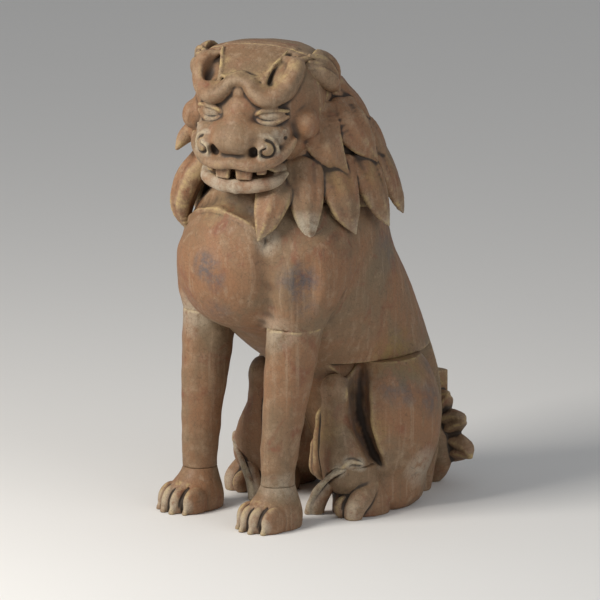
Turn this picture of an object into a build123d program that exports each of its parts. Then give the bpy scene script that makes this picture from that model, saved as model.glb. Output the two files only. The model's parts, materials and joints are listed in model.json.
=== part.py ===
from build123d import *
from itertools import accumulate
from math import cos, radians, sin, sqrt
from typing import NamedTuple
import os

# A seated guardian lion, carved in wooden blocks that are pegged and glued together.
# Millimetres, +Z up. It faces -Y, its own left is +X, and the origin is the middle of its
# footprint on the ground. The head is turned to the lion's left.


class Ring(NamedTuple):
    """A level ellipse: its height, the place of its middle and its half widths along X and Y."""

    height: float
    x: float
    y: float
    half_x: float
    half_y: float


# Heights of the joints between blocks
WRIST_HEIGHT = 30
ANKLE_HEIGHT = 36
HAUNCH_TOP = 107
LEG_JOINT_HEIGHT = 142

# Body, from the rump on the ground to the neck joint, in level rings: how far each lies above
# the one below, its half width, and where it ends in front and behind
TORSO = (
    (0, 40, 24, 94),
    (45, 48, 8, 102),
    (45, 54, -18, 97),
    (32, 56, -60, 86),
    (30, 60, -92, 73),
    (34, 63, -103, 53),
    (30, 58, -98, 45),
    (22, 44, -78, 36),
)
TORSO_HEIGHTS = list(accumulate(rise for rise, *_ in TORSO))
TORSO_RINGS = [
    Ring(height, 0, (front + back) / 2, half_width, (back - front) / 2)
    for height, (_, half_width, front, back) in zip(TORSO_HEIGHTS, TORSO)
]
NECK_HEIGHT = TORSO_HEIGHTS[-1]
RUMP_RING = 1
CHEST_RING = 5
SHOULDER_RING = 6
HOLLOW_RINGS = slice(1, 6)
SIDE_WALL = 33
END_WALL = 20

# Chest dome, with a raised rim and the hollow of the throat above it
CHEST_DROP = 57
CHEST_CENTRE = (0, -68, NECK_HEIGHT - CHEST_DROP)
CHEST_RADII = (44, 47, 47)
RIM_PATH = (
    (38, -82, NECK_HEIGHT - 38),
    (32, -87, NECK_HEIGHT - 26),
    (18, -91, NECK_HEIGHT - 18),
    (0, -93, NECK_HEIGHT - 15),
)
RIM_RADIUS = 2.6
THROAT_PATH = ((46, -77, NECK_HEIGHT - 31), (28, -86, NECK_HEIGHT - 12), (0, -95, NECK_HEIGHT - 4))
THROAT_RADIUS = 7

# Forelegs: columns that lean forward to the wrist
FORELEG_X = 43
LEG_TOP_Y = -60
WRIST_Y = -76
LEG_TOP_RADII = (20.6, 22.6)
LEG_MIDDLE_RADII = (16.6, 17.9)
LEG_MIDDLE_SHARES = (0.18, 0.4)
WRIST_RADII = (14, 15.5)

# Upper arms, in level rings above the leg: rise, how far out and back, and half widths. The leg
# stands proud of the arm by a small step at the joint, and a fold of skin runs down behind the arm
ARM_STEP = 1.2
ARM = (
    (29, 5, 8, 23, 31),
    (57, 2.5, 15, 23, 31),
    (82, -5, 22, 12, 22),
)
SHOULDER_FOLD = (
    (60, -34, NECK_HEIGHT - 34),
    (63, -43, NECK_HEIGHT - 50),
    (62, -52, NECK_HEIGHT - 68),
    (57, -60, NECK_HEIGHT - 88),
)
SHOULDER_FOLD_RADIUS = 5

# Forepaws
FOREPAW_Y = -81
FOREPAW_WIDTH = 38
FOREPAW_LENGTH = 48
FORE_TOE_HEIGHT = 17

# Hindpaws, with a ridge down to the inner toe and a hollow beside it
HINDPAW_PLACE = (46, -6)
HINDPAW_WIDTH = 46
HINDPAW_LENGTH = 54
HIND_TOE_HEIGHT = 22
HINDPAW_RIDGE = ((52, -24, ANKLE_HEIGHT + 1), (43, -29, 29), (35, -33, 18), (30, -35, 4))
HINDPAW_RIDGE_RADIUS = 3
INSTEP_CENTRE = (43, -38, 15)
INSTEP_RADII = (10, 12, 14)

# Toes of every paw: the shares are of the paw's width, of each toe's space and of its height
TOE_COUNT = 4
TOE_REACH = 12
TOE_SPREAD = 0.95
TOE_BULGE = 0.56
TOE_MIDDLE = 0.4
TOE_BOW = 0.4
PAW_SIDE = 0.6

# Haunches: thigh, knee, shin and heel
HAUNCH_JOINT_X = 36
HAUNCH_CENTRE = (45, 28, 62)
HAUNCH_RADII = (31, 41, 57)
KNEE_TOP = 98
KNEE_PLACE = (42, -14)
KNEE_RADII = (14, 12.5, 13)
ANKLE_Y = -11
ANKLE_RADII = (18, 19)
THIGH_CENTRE = (41, 2, KNEE_TOP - 14)
THIGH_RADII = (13, 26, 15)
HEEL_CENTRE = (50, 24, 14)
HEEL_RADII = (17, 30, 18)

# Head: its middle, its turn and the flat joints through it
HEAD_RISE = 52
HEAD_CENTRE = (2, -55, NECK_HEIGHT + HEAD_RISE)
HEAD_TURN = 26
NECK_SWELL = 12
SKULL_RINGS = (
    Ring(-HEAD_RISE, 0, 12, 28, 27),
    Ring(NECK_SWELL - HEAD_RISE, 0, 6, 34, 32),
    Ring(-22, 0, 2, 43, 43),
    Ring(4, 0, 1, 46, 46),
    Ring(26, 0, 1, 44, 43),
    Ring(39, 0, 1, 41, 40),
    Ring(46, 0, 2, 32, 31),
)
HEAD_TOP = 47
FACE_JOINT = -4
MOUTH_HEIGHT = -37
FOREHEAD_LOW = (-32, 22)
FOREHEAD_SLOPE = 36
FOREHEAD_WIDTH = 56
FOREHEAD_CENTRE = (0, -12, 34.5)
FOREHEAD_RADII = (25, 29, 6)
FOREHEAD_TILT = 33
MUZZLE_CENTRE = (0, -32, -12)
MUZZLE_RADII = (35, 24, 18)
BRIDGE_CENTRE = (0, -38, -1)
BRIDGE_RADII = (12, 13, 15)
NOSE_CENTRE = (0, -46.5, -14)
NOSE_RADII = (18, 12.5, 11)
NOSE_WING_PLACE = (18.5, -47.5, -17.5)
NOSE_WING_RADII = (10.5, 9.5, 8.5)
NOSTRIL_PLACE = (9.5, -58, -23)
NOSTRIL_RADIUS = 4.5
LIP_PATH = ((0, -53.5, -29.5), (15, -52, -31.3), (30, -42, -28), (37, -31, -20))
LIP_RADIUS = 4.4
EYE_PLACE = (20, -39, 4)
EYE_RADII = (11, 6, 5)
CHEEK_PLACE = (42, -19, -8)
CHEEK_RADII = (7, 7.5, 7.5)
JOWL_PLACE = (44, -8, -17)
JOWL_RADII = (8, 9, 9)
BROW_PATH = ((0, -43, 21), (16, -43.5, 14.5), (30, -34, 19), (36.5, -23, 33), (32, -17, 40.5))
BROW_RADIUS = 6.3
MOUTH_CENTRE = (0, -46, -39)
MOUTH_RADII = (24, 18, 4.6)
JAW_CENTRE = (0, -22, -38)
JAW_RADII = (30, 29, 13)
JAW_BAND = ((0, -49.5, -46.5), (12, -48, -45.5), (23, -42, -42.5), (29, -33, -38))
JAW_BAND_RADIUS = 2.8

# Upper teeth: place across the mouth, half width and length. The row bows back from its middle
TEETH = ((-21, 3.5, 3), (-10, 5.5, 6), (8, 5, 6), (19, 3.5, 3))
TOOTH_ROOT = MOUTH_HEIGHT + 3
TOOTH_ROW_FRONT = -49.5
TOOTH_ROW_BOW = 0.016
TOOTH_THICKNESS = 4.4
TOOTH_TAPER = 0.75

# Neck tenon under the crown
NECK_TENON_Y = 15
NECK_TENON_RADIUS = 15
NECK_TENON_LENGTH = 24

# Ears, laid back at the upper corners of the head
EAR_PATH = ((36, -10, 37), (45, 8, 30), (47, 24, 14))
EAR_OUT = (0.75, -0.2, 0.62)
EAR_WIDTH = 14
EAR_DEPTH = 9
EAR_SHAPE = ((0, 0.6), (0.35, 1), (0.7, 0.9))
EAR_HOLLOW_CENTRE = (54, 8, 33)
EAR_HOLLOW_RADII = (6, 15, 9)

# Mane: a collar round the neck with two tiers of hanging locks, swept back to their tips. The
# lower tier has a pair in front, the right one larger, and one lock behind
MANE_Y = -19
MANE_RINGS = (
    Ring(NECK_HEIGHT - 32, 0, -16, 54, 63),
    Ring(NECK_HEIGHT + 12, 0, -20, 54, 58),
    Ring(NECK_HEIGHT + 48, 0, -28, 46, 46),
    Ring(NECK_HEIGHT + 74, 0, -34, 30, 30),
)
MANE_OPENING = 28
MANE_BOARD_ANGLE = 94
FRONT_LOCK_ANGLE = 38
LOWER_LOCK_ANGLES = (55, 77, 101, 126, 152)
UPPER_LOCK_ANGLES = (62, 90, 118, 146)
BACK_LOCK_ANGLE = 180
LOWER_LOCK_SWEEP = 8
UPPER_LOCK_SWEEP = 22
FRONT_LOCK_RISES = (8, -14, -35)
LOWER_LOCK_RISES = (18, -9, -35)
UPPER_LOCK_RISES = (56, 30, 3)
LEFT_FRONT_REACH = ((52, 60), (62, 72), (62, 75))
RIGHT_FRONT_REACH = ((56, 64), (73, 83), (78, 90))
LOWER_LOCK_REACH = ((52, 60), (64, 72), (68, 80))
UPPER_LOCK_REACH = ((40, 36), (55, 55), (61, 65))
LEFT_FRONT_WIDTH = 10
RIGHT_FRONT_WIDTH = 16
LOCK_WIDTH = 13.5
LOCK_DEPTH = 8
WEDGE_SIZE = 24

# Every lock: how far along it its points lie, its width a share of the way from root to tip, and
# the half thickness of its tip
LOCK_SPAN = (0, 0.5, 1)
LOCK_SHAPE = ((0, 1.05), (0.33, 1), (0.67, 0.68))
LOCK_TIP = 1.5

# Tail: a low plume behind the rump, with the squared stub of its lost upper part
TAIL_CENTRE = (0, 98, 22)
TAIL_RADII = (33, 16, 30)
TAIL_LOCK_ANGLES = (-78, -48, -20, 20, 48, 78)
TAIL_LOCK_REACH = (8, 30, 48)
TAIL_LOCK_BACK = (98, 106, 102)
TAIL_LOCK_WIDTH = 13
TAIL_LOCK_DEPTH = 8
STUB_CENTRE = (8, 104, 64)
STUB_SIZE = (15, 17, 30)
STUB_HOLE_RADIUS = 2
STUB_HOLE_RISE = 5

# Pegs: their size, and where they cross the joints
PEG_RADIUS = 4
PEG_LENGTH = 24
PEG_GAP = 0.15
EAR_PEG_LENGTH = 10
EAR_PEG_RADIUS = 3
JAW_PEG_LENGTH = 14
RUMP_PEG_RISE = 24
RUMP_PEG_DEPTH = 10
SEAT_PEG_HEIGHT = 22
CHEST_PEG_DEPTH = 5
NECK_PEG_Y = 9
HAUNCH_PEG_PLACES = ((32, 37), (44, 75))
FACE_PEG_PLACE = (24, 6)
JAW_PEG_PLACE = (15, -20)
EAR_PEG_PLACE = (42.5, 6, 27)
MANE_PEG_DROP = 18
MANE_PEG_SINK = 5
MANE_PEG_X = 27
TAIL_PEG_SINK = 6

# Iron staples inside the hollow
STAPLE_SPAN = 30
STAPLE_BAR = 4
STAPLE_POINT = 10
STAPLE_RINGS = (2, 3, 4)


def level_loft(rings):
    """A solid lofted through level ellipses, from the lowest to the highest."""
    with BuildPart(mode=Mode.PRIVATE) as body:
        for ring in rings:
            with BuildSketch(Plane.XY.offset(ring.height)):
                with Locations((ring.x, ring.y)):
                    Ellipse(ring.half_x, ring.half_y)
        loft()
    return body.part


def ellipsoid(centre, radii):
    """A solid ellipsoid."""
    ball = scale(Sphere(1, mode=Mode.PRIVATE), by=tuple(radii), mode=Mode.PRIVATE)
    return Pos(*centre) * ball


def pair(solid):
    """A solid and its mirror image across the median plane."""
    return [solid, mirror(solid, about=Plane.YZ, mode=Mode.PRIVATE)]


def both_sides(place):
    """A place on the left and the same place on the right."""
    return [place, (-place[0], *place[1:])]


def on_both_sides(plane, place):
    """The plane moved by a place on the left and by the same place on the right."""
    return [Plane(Pos(*spot) * plane.location) for spot in both_sides(place)]


def between(start, end, share):
    """The point a share of the way from start to end."""
    return tuple(a + (b - a) * share for a, b in zip(start, end))


def pegs(planes, radius=PEG_RADIUS, length=PEG_LENGTH):
    """Round pegs, each centred on its plane and square to it."""
    with BuildPart(mode=Mode.PRIVATE) as group:
        for plane in planes:
            with BuildSketch(plane):
                Circle(radius)
            extrude(amount=length / 2, both=True)
    return group.part


def peg_holes(planes, radius=PEG_RADIUS, length=PEG_LENGTH):
    """The holes that pegs on these planes sit in."""
    return pegs(planes, radius + PEG_GAP, length + 2 * PEG_GAP)


def roll(points, radius):
    """A round roll along a curve, with round ends."""
    with BuildPart(mode=Mode.PRIVATE) as tube:
        with BuildLine(mode=Mode.PRIVATE) as path:
            Spline(*points)
        with BuildSketch(Plane(path.line @ 0, z_dir=path.line % 0)):
            Circle(radius)
        sweep(path=path.line)
        with Locations(points[0], points[-1]):
            Sphere(radius)
    return tube.part


def lock(points, out, width, depth, shape=LOCK_SHAPE):
    """A lock of hair along a curve from root to tip."""
    with BuildPart(mode=Mode.PRIVATE) as strand:
        with BuildLine(mode=Mode.PRIVATE) as path:
            Spline(*points)
        for share, size in (*shape, (1, LOCK_TIP / width)):
            along = path.line % share
            across = along.cross(Vector(*out))
            with BuildSketch(Plane(path.line @ share, x_dir=across, z_dir=along)):
                Ellipse(width * size, max(depth * size, LOCK_TIP))
        loft()
    return strand.part


# Trunk form: torso, chest dome and upper arms, with flat seats for the haunches
torso = level_loft(TORSO_RINGS)
leg_top = (FORELEG_X, LEG_TOP_Y)
arm_foot = Ring(LEG_JOINT_HEIGHT, *leg_top, *[radius - ARM_STEP for radius in LEG_TOP_RADII])
arm_rings = [
    Ring(LEG_JOINT_HEIGHT + rise, FORELEG_X + out, LEG_TOP_Y + back, half_x, half_y)
    for rise, out, back, half_x, half_y in ARM
]
upper_arm = level_loft([arm_foot, *arm_rings])
rump_back = max(ring.y + ring.half_y for ring in TORSO_RINGS)
seat_width = HAUNCH_CENTRE[0] + HAUNCH_RADII[0]
seat_front = KNEE_PLACE[1] - ANKLE_RADII[1]
seat_length = 2 * rump_back - seat_front
with BuildPart() as haunch_seats:
    with BuildSketch():
        with Locations(*both_sides((HAUNCH_JOINT_X + seat_width / 2, seat_front + seat_length / 2))):
            Rectangle(seat_width, seat_length)
    extrude(amount=HAUNCH_TOP)
with BuildPart() as trunk_form:
    add(torso)
    add(ellipsoid(CHEST_CENTRE, CHEST_RADII))
    add(pair(upper_arm))
    add(pair(roll(SHOULDER_FOLD, SHOULDER_FOLD_RADIUS)))
    add(pair(roll(THROAT_PATH, THROAT_RADIUS)), mode=Mode.SUBTRACT)
    add(pair(roll(RIM_PATH, RIM_RADIUS)))
    add(haunch_seats.part, mode=Mode.SUBTRACT)

# Hollow inside the trunk, the torso's own rings drawn in by the walls
hollow = level_loft(
    [
        Ring(ring.height, ring.x, ring.y, ring.half_x - SIDE_WALL, ring.half_y - END_WALL)
        for ring in TORSO_RINGS[HOLLOW_RINGS]
    ]
)

# Foreleg form
wrist = (FORELEG_X, WRIST_Y)
wrist_ring = Ring(WRIST_HEIGHT, *wrist, *WRIST_RADII)
leg_middles = [
    Ring(*between((WRIST_HEIGHT, *wrist), (LEG_JOINT_HEIGHT, *leg_top), share), *LEG_MIDDLE_RADII)
    for share in LEG_MIDDLE_SHARES
]
leg_column = level_loft((wrist_ring, *leg_middles, Ring(LEG_JOINT_HEIGHT, *leg_top, *LEG_TOP_RADII)))


# Paw forms
def paw(place, width, length, toe_height, top):
    """A paw whose toes point forward, from its flat sole to the ring it carries."""
    x, y = place
    sole = Ring(0, x, y, width / 2, length / 2)
    body = level_loft((sole, sole._replace(height=toe_height * PAW_SIDE), top))
    space = width / TOE_COUNT
    toes = []
    for index in range(TOE_COUNT):
        offset = (index - (TOE_COUNT - 1) / 2) * space
        front = y - length / 2 + TOE_REACH / 2 + abs(offset) * TOE_BOW
        centre = (x + offset * TOE_SPREAD, front, toe_height * TOE_MIDDLE)
        toes.append(ellipsoid(centre, (space * TOE_BULGE, TOE_REACH, toe_height * (1 - TOE_MIDDLE))))
    with BuildPart(mode=Mode.PRIVATE) as whole:
        add(body)
        add(toes)
        split(bisect_by=Plane.XY, keep=Keep.TOP)
    return whole.part


ankle_ring = Ring(ANKLE_HEIGHT, HINDPAW_PLACE[0], ANKLE_Y, *ANKLE_RADII)
forepaw_form = paw((FORELEG_X, FOREPAW_Y), FOREPAW_WIDTH, FOREPAW_LENGTH, FORE_TOE_HEIGHT, wrist_ring)
with BuildPart() as hindpaw_form:
    add(paw(HINDPAW_PLACE, HINDPAW_WIDTH, HINDPAW_LENGTH, HIND_TOE_HEIGHT, ankle_ring))
    add(ellipsoid(INSTEP_CENTRE, INSTEP_RADII), mode=Mode.SUBTRACT)
    add(roll(HINDPAW_RIDGE, HINDPAW_RIDGE_RADIUS))
    split(bisect_by=Plane.XY, keep=Keep.TOP)
    split(bisect_by=Plane.XY.offset(ANKLE_HEIGHT), keep=Keep.BOTTOM)

# Haunch form
knee_centre = (*KNEE_PLACE, KNEE_TOP - KNEE_RADII[2])
shin = level_loft((ankle_ring, Ring(knee_centre[2], *KNEE_PLACE, *KNEE_RADII[:2])))
with BuildPart() as haunch_form:
    add(ellipsoid(HAUNCH_CENTRE, HAUNCH_RADII))
    add(ellipsoid(THIGH_CENTRE, THIGH_RADII))
    add(ellipsoid(HEEL_CENTRE, HEEL_RADII))
    add(ellipsoid(knee_centre, KNEE_RADII))
    add(shin)
    split(bisect_by=Plane.XY, keep=Keep.TOP)
    split(bisect_by=Plane.XY.offset(HAUNCH_TOP), keep=Keep.BOTTOM)
    add(trunk_form.part, mode=Mode.SUBTRACT)
    add(hindpaw_form.part, mode=Mode.SUBTRACT)

# Head form, in its own frame: X to its left, Y behind it
HEAD = Location(HEAD_CENTRE, (0, 0, HEAD_TURN))
forehead_turn = radians(FOREHEAD_SLOPE)
forehead_slope = Plane(
    (0, *FOREHEAD_LOW), x_dir=(1, 0, 0), z_dir=(0, -sin(forehead_turn), cos(forehead_turn))
)
with BuildPart() as head_form:
    add(level_loft(SKULL_RINGS))
    with BuildSketch(forehead_slope):
        Rectangle(FOREHEAD_WIDTH, 4 * FOREHEAD_WIDTH)
    extrude(amount=FOREHEAD_WIDTH, mode=Mode.SUBTRACT)
    add(Pos(*FOREHEAD_CENTRE) * Rot(FOREHEAD_TILT) * ellipsoid((0, 0, 0), FOREHEAD_RADII))
    add(ellipsoid(MUZZLE_CENTRE, MUZZLE_RADII))
    add(ellipsoid(BRIDGE_CENTRE, BRIDGE_RADII))
    add(ellipsoid(NOSE_CENTRE, NOSE_RADII))
    add(pair(ellipsoid(NOSE_WING_PLACE, NOSE_WING_RADII)))
    add(pair(ellipsoid(EYE_PLACE, EYE_RADII)))
    add(pair(ellipsoid(CHEEK_PLACE, CHEEK_RADII)))
    add(pair(ellipsoid(JOWL_PLACE, JOWL_RADII)))
    add(pair(roll(LIP_PATH, LIP_RADIUS)))
    add(pair(roll(BROW_PATH, BROW_RADIUS)))
    add(ellipsoid(JAW_CENTRE, JAW_RADII))
    with Locations(*both_sides(NOSTRIL_PLACE)):
        Sphere(NOSTRIL_RADIUS, mode=Mode.SUBTRACT)
    add(ellipsoid(MOUTH_CENTRE, MOUTH_RADII), mode=Mode.SUBTRACT)
    add(pair(roll(JAW_BAND, JAW_BAND_RADIUS)))
    split(bisect_by=Plane.XY.offset(HEAD_TOP), keep=Keep.BOTTOM)
    split(bisect_by=Plane.XY.offset(-HEAD_RISE), keep=Keep.TOP)
teeth = []
for x, half_width, length in TEETH:
    front = TOOTH_ROW_FRONT + TOOTH_ROW_BOW * x**2
    root = Ring(TOOTH_ROOT, x, front, half_width, TOOTH_THICKNESS / 2)
    tip = root._replace(height=TOOTH_ROOT - length, half_x=half_width * TOOTH_TAPER)
    teeth.append(level_loft((tip, root)))

# Blocks of the head, in the head's frame
face_joint = Plane.XZ.offset(-FACE_JOINT)
mouth_joint = Plane.XY.offset(MOUTH_HEIGHT)
face_peg_planes = on_both_sides(face_joint, (FACE_PEG_PLACE[0], 0, FACE_PEG_PLACE[1]))
jaw_peg_planes = on_both_sides(mouth_joint, (*JAW_PEG_PLACE, 0))
ear_peg_planes = on_both_sides(Plane.YZ, EAR_PEG_PLACE)
ear_peg_holes = peg_holes(ear_peg_planes, EAR_PEG_RADIUS, EAR_PEG_LENGTH)
jaw_peg_holes = peg_holes(jaw_peg_planes, length=JAW_PEG_LENGTH)
with BuildPart() as face:
    add(head_form.part)
    split(bisect_by=face_joint, keep=Keep.TOP)
    split(bisect_by=mouth_joint, keep=Keep.TOP)
    add(teeth)
    add(peg_holes(face_peg_planes), mode=Mode.SUBTRACT)
    add(jaw_peg_holes, mode=Mode.SUBTRACT)
with BuildPart() as lower_jaw:
    add(head_form.part)
    split(bisect_by=face_joint, keep=Keep.TOP)
    split(bisect_by=mouth_joint, keep=Keep.BOTTOM)
    add(jaw_peg_holes, mode=Mode.SUBTRACT)
with BuildPart() as crown:
    add(head_form.part)
    split(bisect_by=face_joint, keep=Keep.BOTTOM)
    with BuildSketch(Plane.XY.offset(-HEAD_RISE)):
        with Locations((0, NECK_TENON_Y)):
            Circle(NECK_TENON_RADIUS)
    extrude(amount=-NECK_TENON_LENGTH)
    add(peg_holes(face_peg_planes), mode=Mode.SUBTRACT)
    add(ear_peg_holes, mode=Mode.SUBTRACT)
with BuildPart() as left_ear:
    add(lock(EAR_PATH, EAR_OUT, EAR_WIDTH, EAR_DEPTH, EAR_SHAPE))
    add(ellipsoid(EAR_HOLLOW_CENTRE, EAR_HOLLOW_RADII), mode=Mode.SUBTRACT)
    add(head_form.part, mode=Mode.SUBTRACT)
    add(ear_peg_holes, mode=Mode.SUBTRACT)


# Mane form: a collar open in front of the throat, with its locks
def on_collar(angle, reach, height):
    """The point of the collar at an angle from straight ahead, positive to the lion's left."""
    turn = radians(angle)
    return (reach[0] * sin(turn), MANE_Y - reach[1] * cos(turn), height)


def mane_lock(angle, rises, reaches, sweep_back=0, width=LOCK_WIDTH):
    """One lock of the mane, hanging from the collar, with its tip swept back."""
    points = []
    for share, rise, reach in zip(LOCK_SPAN, rises, reaches):
        points.append(on_collar(angle + sweep_back * share**2, reach, NECK_HEIGHT + rise))
    turn = radians(angle)
    return lock(points, (sin(turn), -cos(turn), 0), width, LOCK_DEPTH)


def wedge(angle, reach):
    """A tall wedge with its edge in the middle of the collar, from angle to the same on the right."""
    corner = on_collar(angle, (reach, reach), 0)[:2]
    with BuildPart(mode=Mode.PRIVATE) as block:
        with BuildSketch():
            with BuildLine():
                Polyline((0, MANE_Y), *both_sides(corner), close=True)
            make_face()
        extrude(amount=2 * HEAD_CENTRE[2])
    return block.part


locks = [mane_lock(BACK_LOCK_ANGLE, LOWER_LOCK_RISES, LOWER_LOCK_REACH)]
for side, front_reach, front_width in (
    (1, LEFT_FRONT_REACH, LEFT_FRONT_WIDTH),
    (-1, RIGHT_FRONT_REACH, RIGHT_FRONT_WIDTH),
):
    locks.append(mane_lock(side * FRONT_LOCK_ANGLE, FRONT_LOCK_RISES, front_reach, 0, front_width))
    for angles, rises, reaches, swept in (
        (LOWER_LOCK_ANGLES, LOWER_LOCK_RISES, LOWER_LOCK_REACH, LOWER_LOCK_SWEEP),
        (UPPER_LOCK_ANGLES, UPPER_LOCK_RISES, UPPER_LOCK_REACH, UPPER_LOCK_SWEEP),
    ):
        locks += [mane_lock(side * angle, rises, reaches, side * swept) for angle in angles]
wedge_reach = WEDGE_SIZE * max(reach for _, reach in RIGHT_FRONT_REACH)
back_sector = wedge(MANE_BOARD_ANGLE, wedge_reach)
head_ears = [HEAD * ear for ear in pair(left_ear.part)]
with BuildPart() as mane_form:
    add(level_loft(MANE_RINGS))
    add(wedge(MANE_OPENING, wedge_reach), mode=Mode.SUBTRACT)
    add(locks)
    add(trunk_form.part, mode=Mode.SUBTRACT)
    add(HEAD * head_form.part, mode=Mode.SUBTRACT)
    add(head_ears, mode=Mode.SUBTRACT)

# Tail form: a low fan of locks behind the rump and the stub of the lost upper plume
tail_locks = []
for angle in TAIL_LOCK_ANGLES:
    turn = radians(angle)
    tail_points = [
        (reach * sin(turn), back, TAIL_CENTRE[2] + reach * cos(turn))
        for reach, back in zip(TAIL_LOCK_REACH, TAIL_LOCK_BACK)
    ]
    tail_locks.append(lock(tail_points, (0, 1, 0), TAIL_LOCK_WIDTH, TAIL_LOCK_DEPTH))
with BuildPart() as tail_form:
    add(ellipsoid(TAIL_CENTRE, TAIL_RADII))
    add(tail_locks)
    with Locations(STUB_CENTRE):
        Box(*STUB_SIZE)
        with Locations((0, 0, STUB_HOLE_RISE)):
            Cylinder(STUB_HOLE_RADIUS, 2 * STUB_SIZE[0], rotation=(0, 90, 0), mode=Mode.SUBTRACT)
    split(bisect_by=Plane.XY, keep=Keep.TOP)
    add(trunk_form.part, mode=Mode.SUBTRACT)
    add(pair(haunch_form.part), mode=Mode.SUBTRACT)

# Planes of the joints that the pegs of the body cross
rump = TORSO_RINGS[RUMP_RING]
chest = TORSO_RINGS[CHEST_RING]
shoulder = TORSO_RINGS[SHOULDER_RING]
rump_end = rump.y + rump.half_y
trunk_peg_planes = [
    Plane((0, y, height), z_dir=(1, 0, 0))
    for y, height in (
        (rump_end - RUMP_PEG_DEPTH, rump.height + RUMP_PEG_RISE),
        (rump.y, SEAT_PEG_HEIGHT),
        (chest.y - chest.half_y + CHEST_PEG_DEPTH, chest.height),
        (NECK_PEG_Y, shoulder.height),
    )
]
haunch_peg_planes = []
for place in HAUNCH_PEG_PLACES:
    haunch_peg_planes += on_both_sides(Plane.YZ, (HAUNCH_JOINT_X, *place))
leg_peg_planes = on_both_sides(Plane.XY, (*leg_top, LEG_JOINT_HEIGHT))
wrist_peg_planes = on_both_sides(Plane.XY, (*wrist, WRIST_HEIGHT))
ankle_peg_planes = on_both_sides(Plane.XY, (ankle_ring.x, ankle_ring.y, ANKLE_HEIGHT))
mane_peg_height = NECK_HEIGHT - MANE_PEG_DROP
mane_peg_y = shoulder.y + shoulder.half_y * sqrt(1 - (MANE_PEG_X / shoulder.half_x) ** 2)
side_peg_y = on_collar(LOWER_LOCK_ANGLES[1], LOWER_LOCK_REACH[1], 0)[1]
side_peg_x = shoulder.half_x - MANE_PEG_SINK
side_mane_planes = on_both_sides(Plane.YZ, (side_peg_x, side_peg_y, mane_peg_height))
back_mane_planes = on_both_sides(Plane.XZ, (MANE_PEG_X, mane_peg_y, mane_peg_height))
tail_peg_planes = [Plane((0, rump_end - TAIL_PEG_SINK, TAIL_CENTRE[2]), z_dir=(0, 1, 0))]

# Iron staples across the median joint, let into the back wall of the hollow
staple_side = (STAPLE_SPAN - STAPLE_BAR) / 2
with BuildPart() as trunk_staples:
    for ring in [TORSO_RINGS[index] for index in STAPLE_RINGS]:
        with BuildSketch(Plane.XY.offset(ring.height)):
            with Locations((0, ring.y + ring.half_y - END_WALL)):
                Rectangle(STAPLE_SPAN, STAPLE_BAR)
                with Locations(*both_sides((staple_side, STAPLE_POINT / 2))):
                    Rectangle(STAPLE_BAR, STAPLE_POINT)
        extrude(amount=STAPLE_BAR / 2, both=True)

# Trunk halves
neck_place = (HEAD * Pos(0, NECK_TENON_Y, 0)).position
with BuildPart() as trunk:
    add(trunk_form.part)
    add(hollow, mode=Mode.SUBTRACT)
    with BuildSketch(Plane.XY.offset(NECK_HEIGHT)):
        with Locations((neck_place.X, neck_place.Y)):
            Circle(NECK_TENON_RADIUS + PEG_GAP)
    extrude(amount=-NECK_TENON_LENGTH - PEG_GAP, mode=Mode.SUBTRACT)
    add(peg_holes(trunk_peg_planes + haunch_peg_planes + leg_peg_planes), mode=Mode.SUBTRACT)
    add(peg_holes(side_mane_planes + back_mane_planes + tail_peg_planes), mode=Mode.SUBTRACT)
    add(trunk_staples.part, mode=Mode.SUBTRACT)
with BuildPart() as left_trunk:
    add(trunk.part)
    split(bisect_by=Plane.YZ, keep=Keep.TOP)
with BuildPart() as right_trunk:
    add(trunk.part)
    split(bisect_by=Plane.YZ, keep=Keep.BOTTOM)

# Legs and paws of the left side
with BuildPart() as left_foreleg:
    add(leg_column)
    add(trunk_form.part, mode=Mode.SUBTRACT)
    add(peg_holes(leg_peg_planes + wrist_peg_planes), mode=Mode.SUBTRACT)
with BuildPart() as left_forepaw:
    add(forepaw_form)
    add(peg_holes(wrist_peg_planes), mode=Mode.SUBTRACT)
with BuildPart() as left_haunch:
    add(haunch_form.part)
    add(peg_holes(haunch_peg_planes + ankle_peg_planes), mode=Mode.SUBTRACT)
with BuildPart() as left_hindpaw:
    add(hindpaw_form.part)
    add(trunk_form.part, mode=Mode.SUBTRACT)
    add(peg_holes(ankle_peg_planes), mode=Mode.SUBTRACT)

# Mane boards and tail
with BuildPart() as back_mane:
    add(mane_form.part)
    add(back_sector, mode=Mode.INTERSECT)
    add(peg_holes(back_mane_planes), mode=Mode.SUBTRACT)
with BuildPart() as left_mane:
    add(mane_form.part)
    add(back_sector, mode=Mode.SUBTRACT)
    split(bisect_by=Plane.YZ, keep=Keep.TOP)
    add(peg_holes(side_mane_planes), mode=Mode.SUBTRACT)
with BuildPart() as right_mane:
    add(mane_form.part)
    add(back_sector, mode=Mode.SUBTRACT)
    split(bisect_by=Plane.YZ, keep=Keep.BOTTOM)
    add(peg_holes(side_mane_planes), mode=Mode.SUBTRACT)
with BuildPart() as tail:
    add(tail_form.part)
    add(peg_holes(tail_peg_planes), mode=Mode.SUBTRACT)

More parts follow.
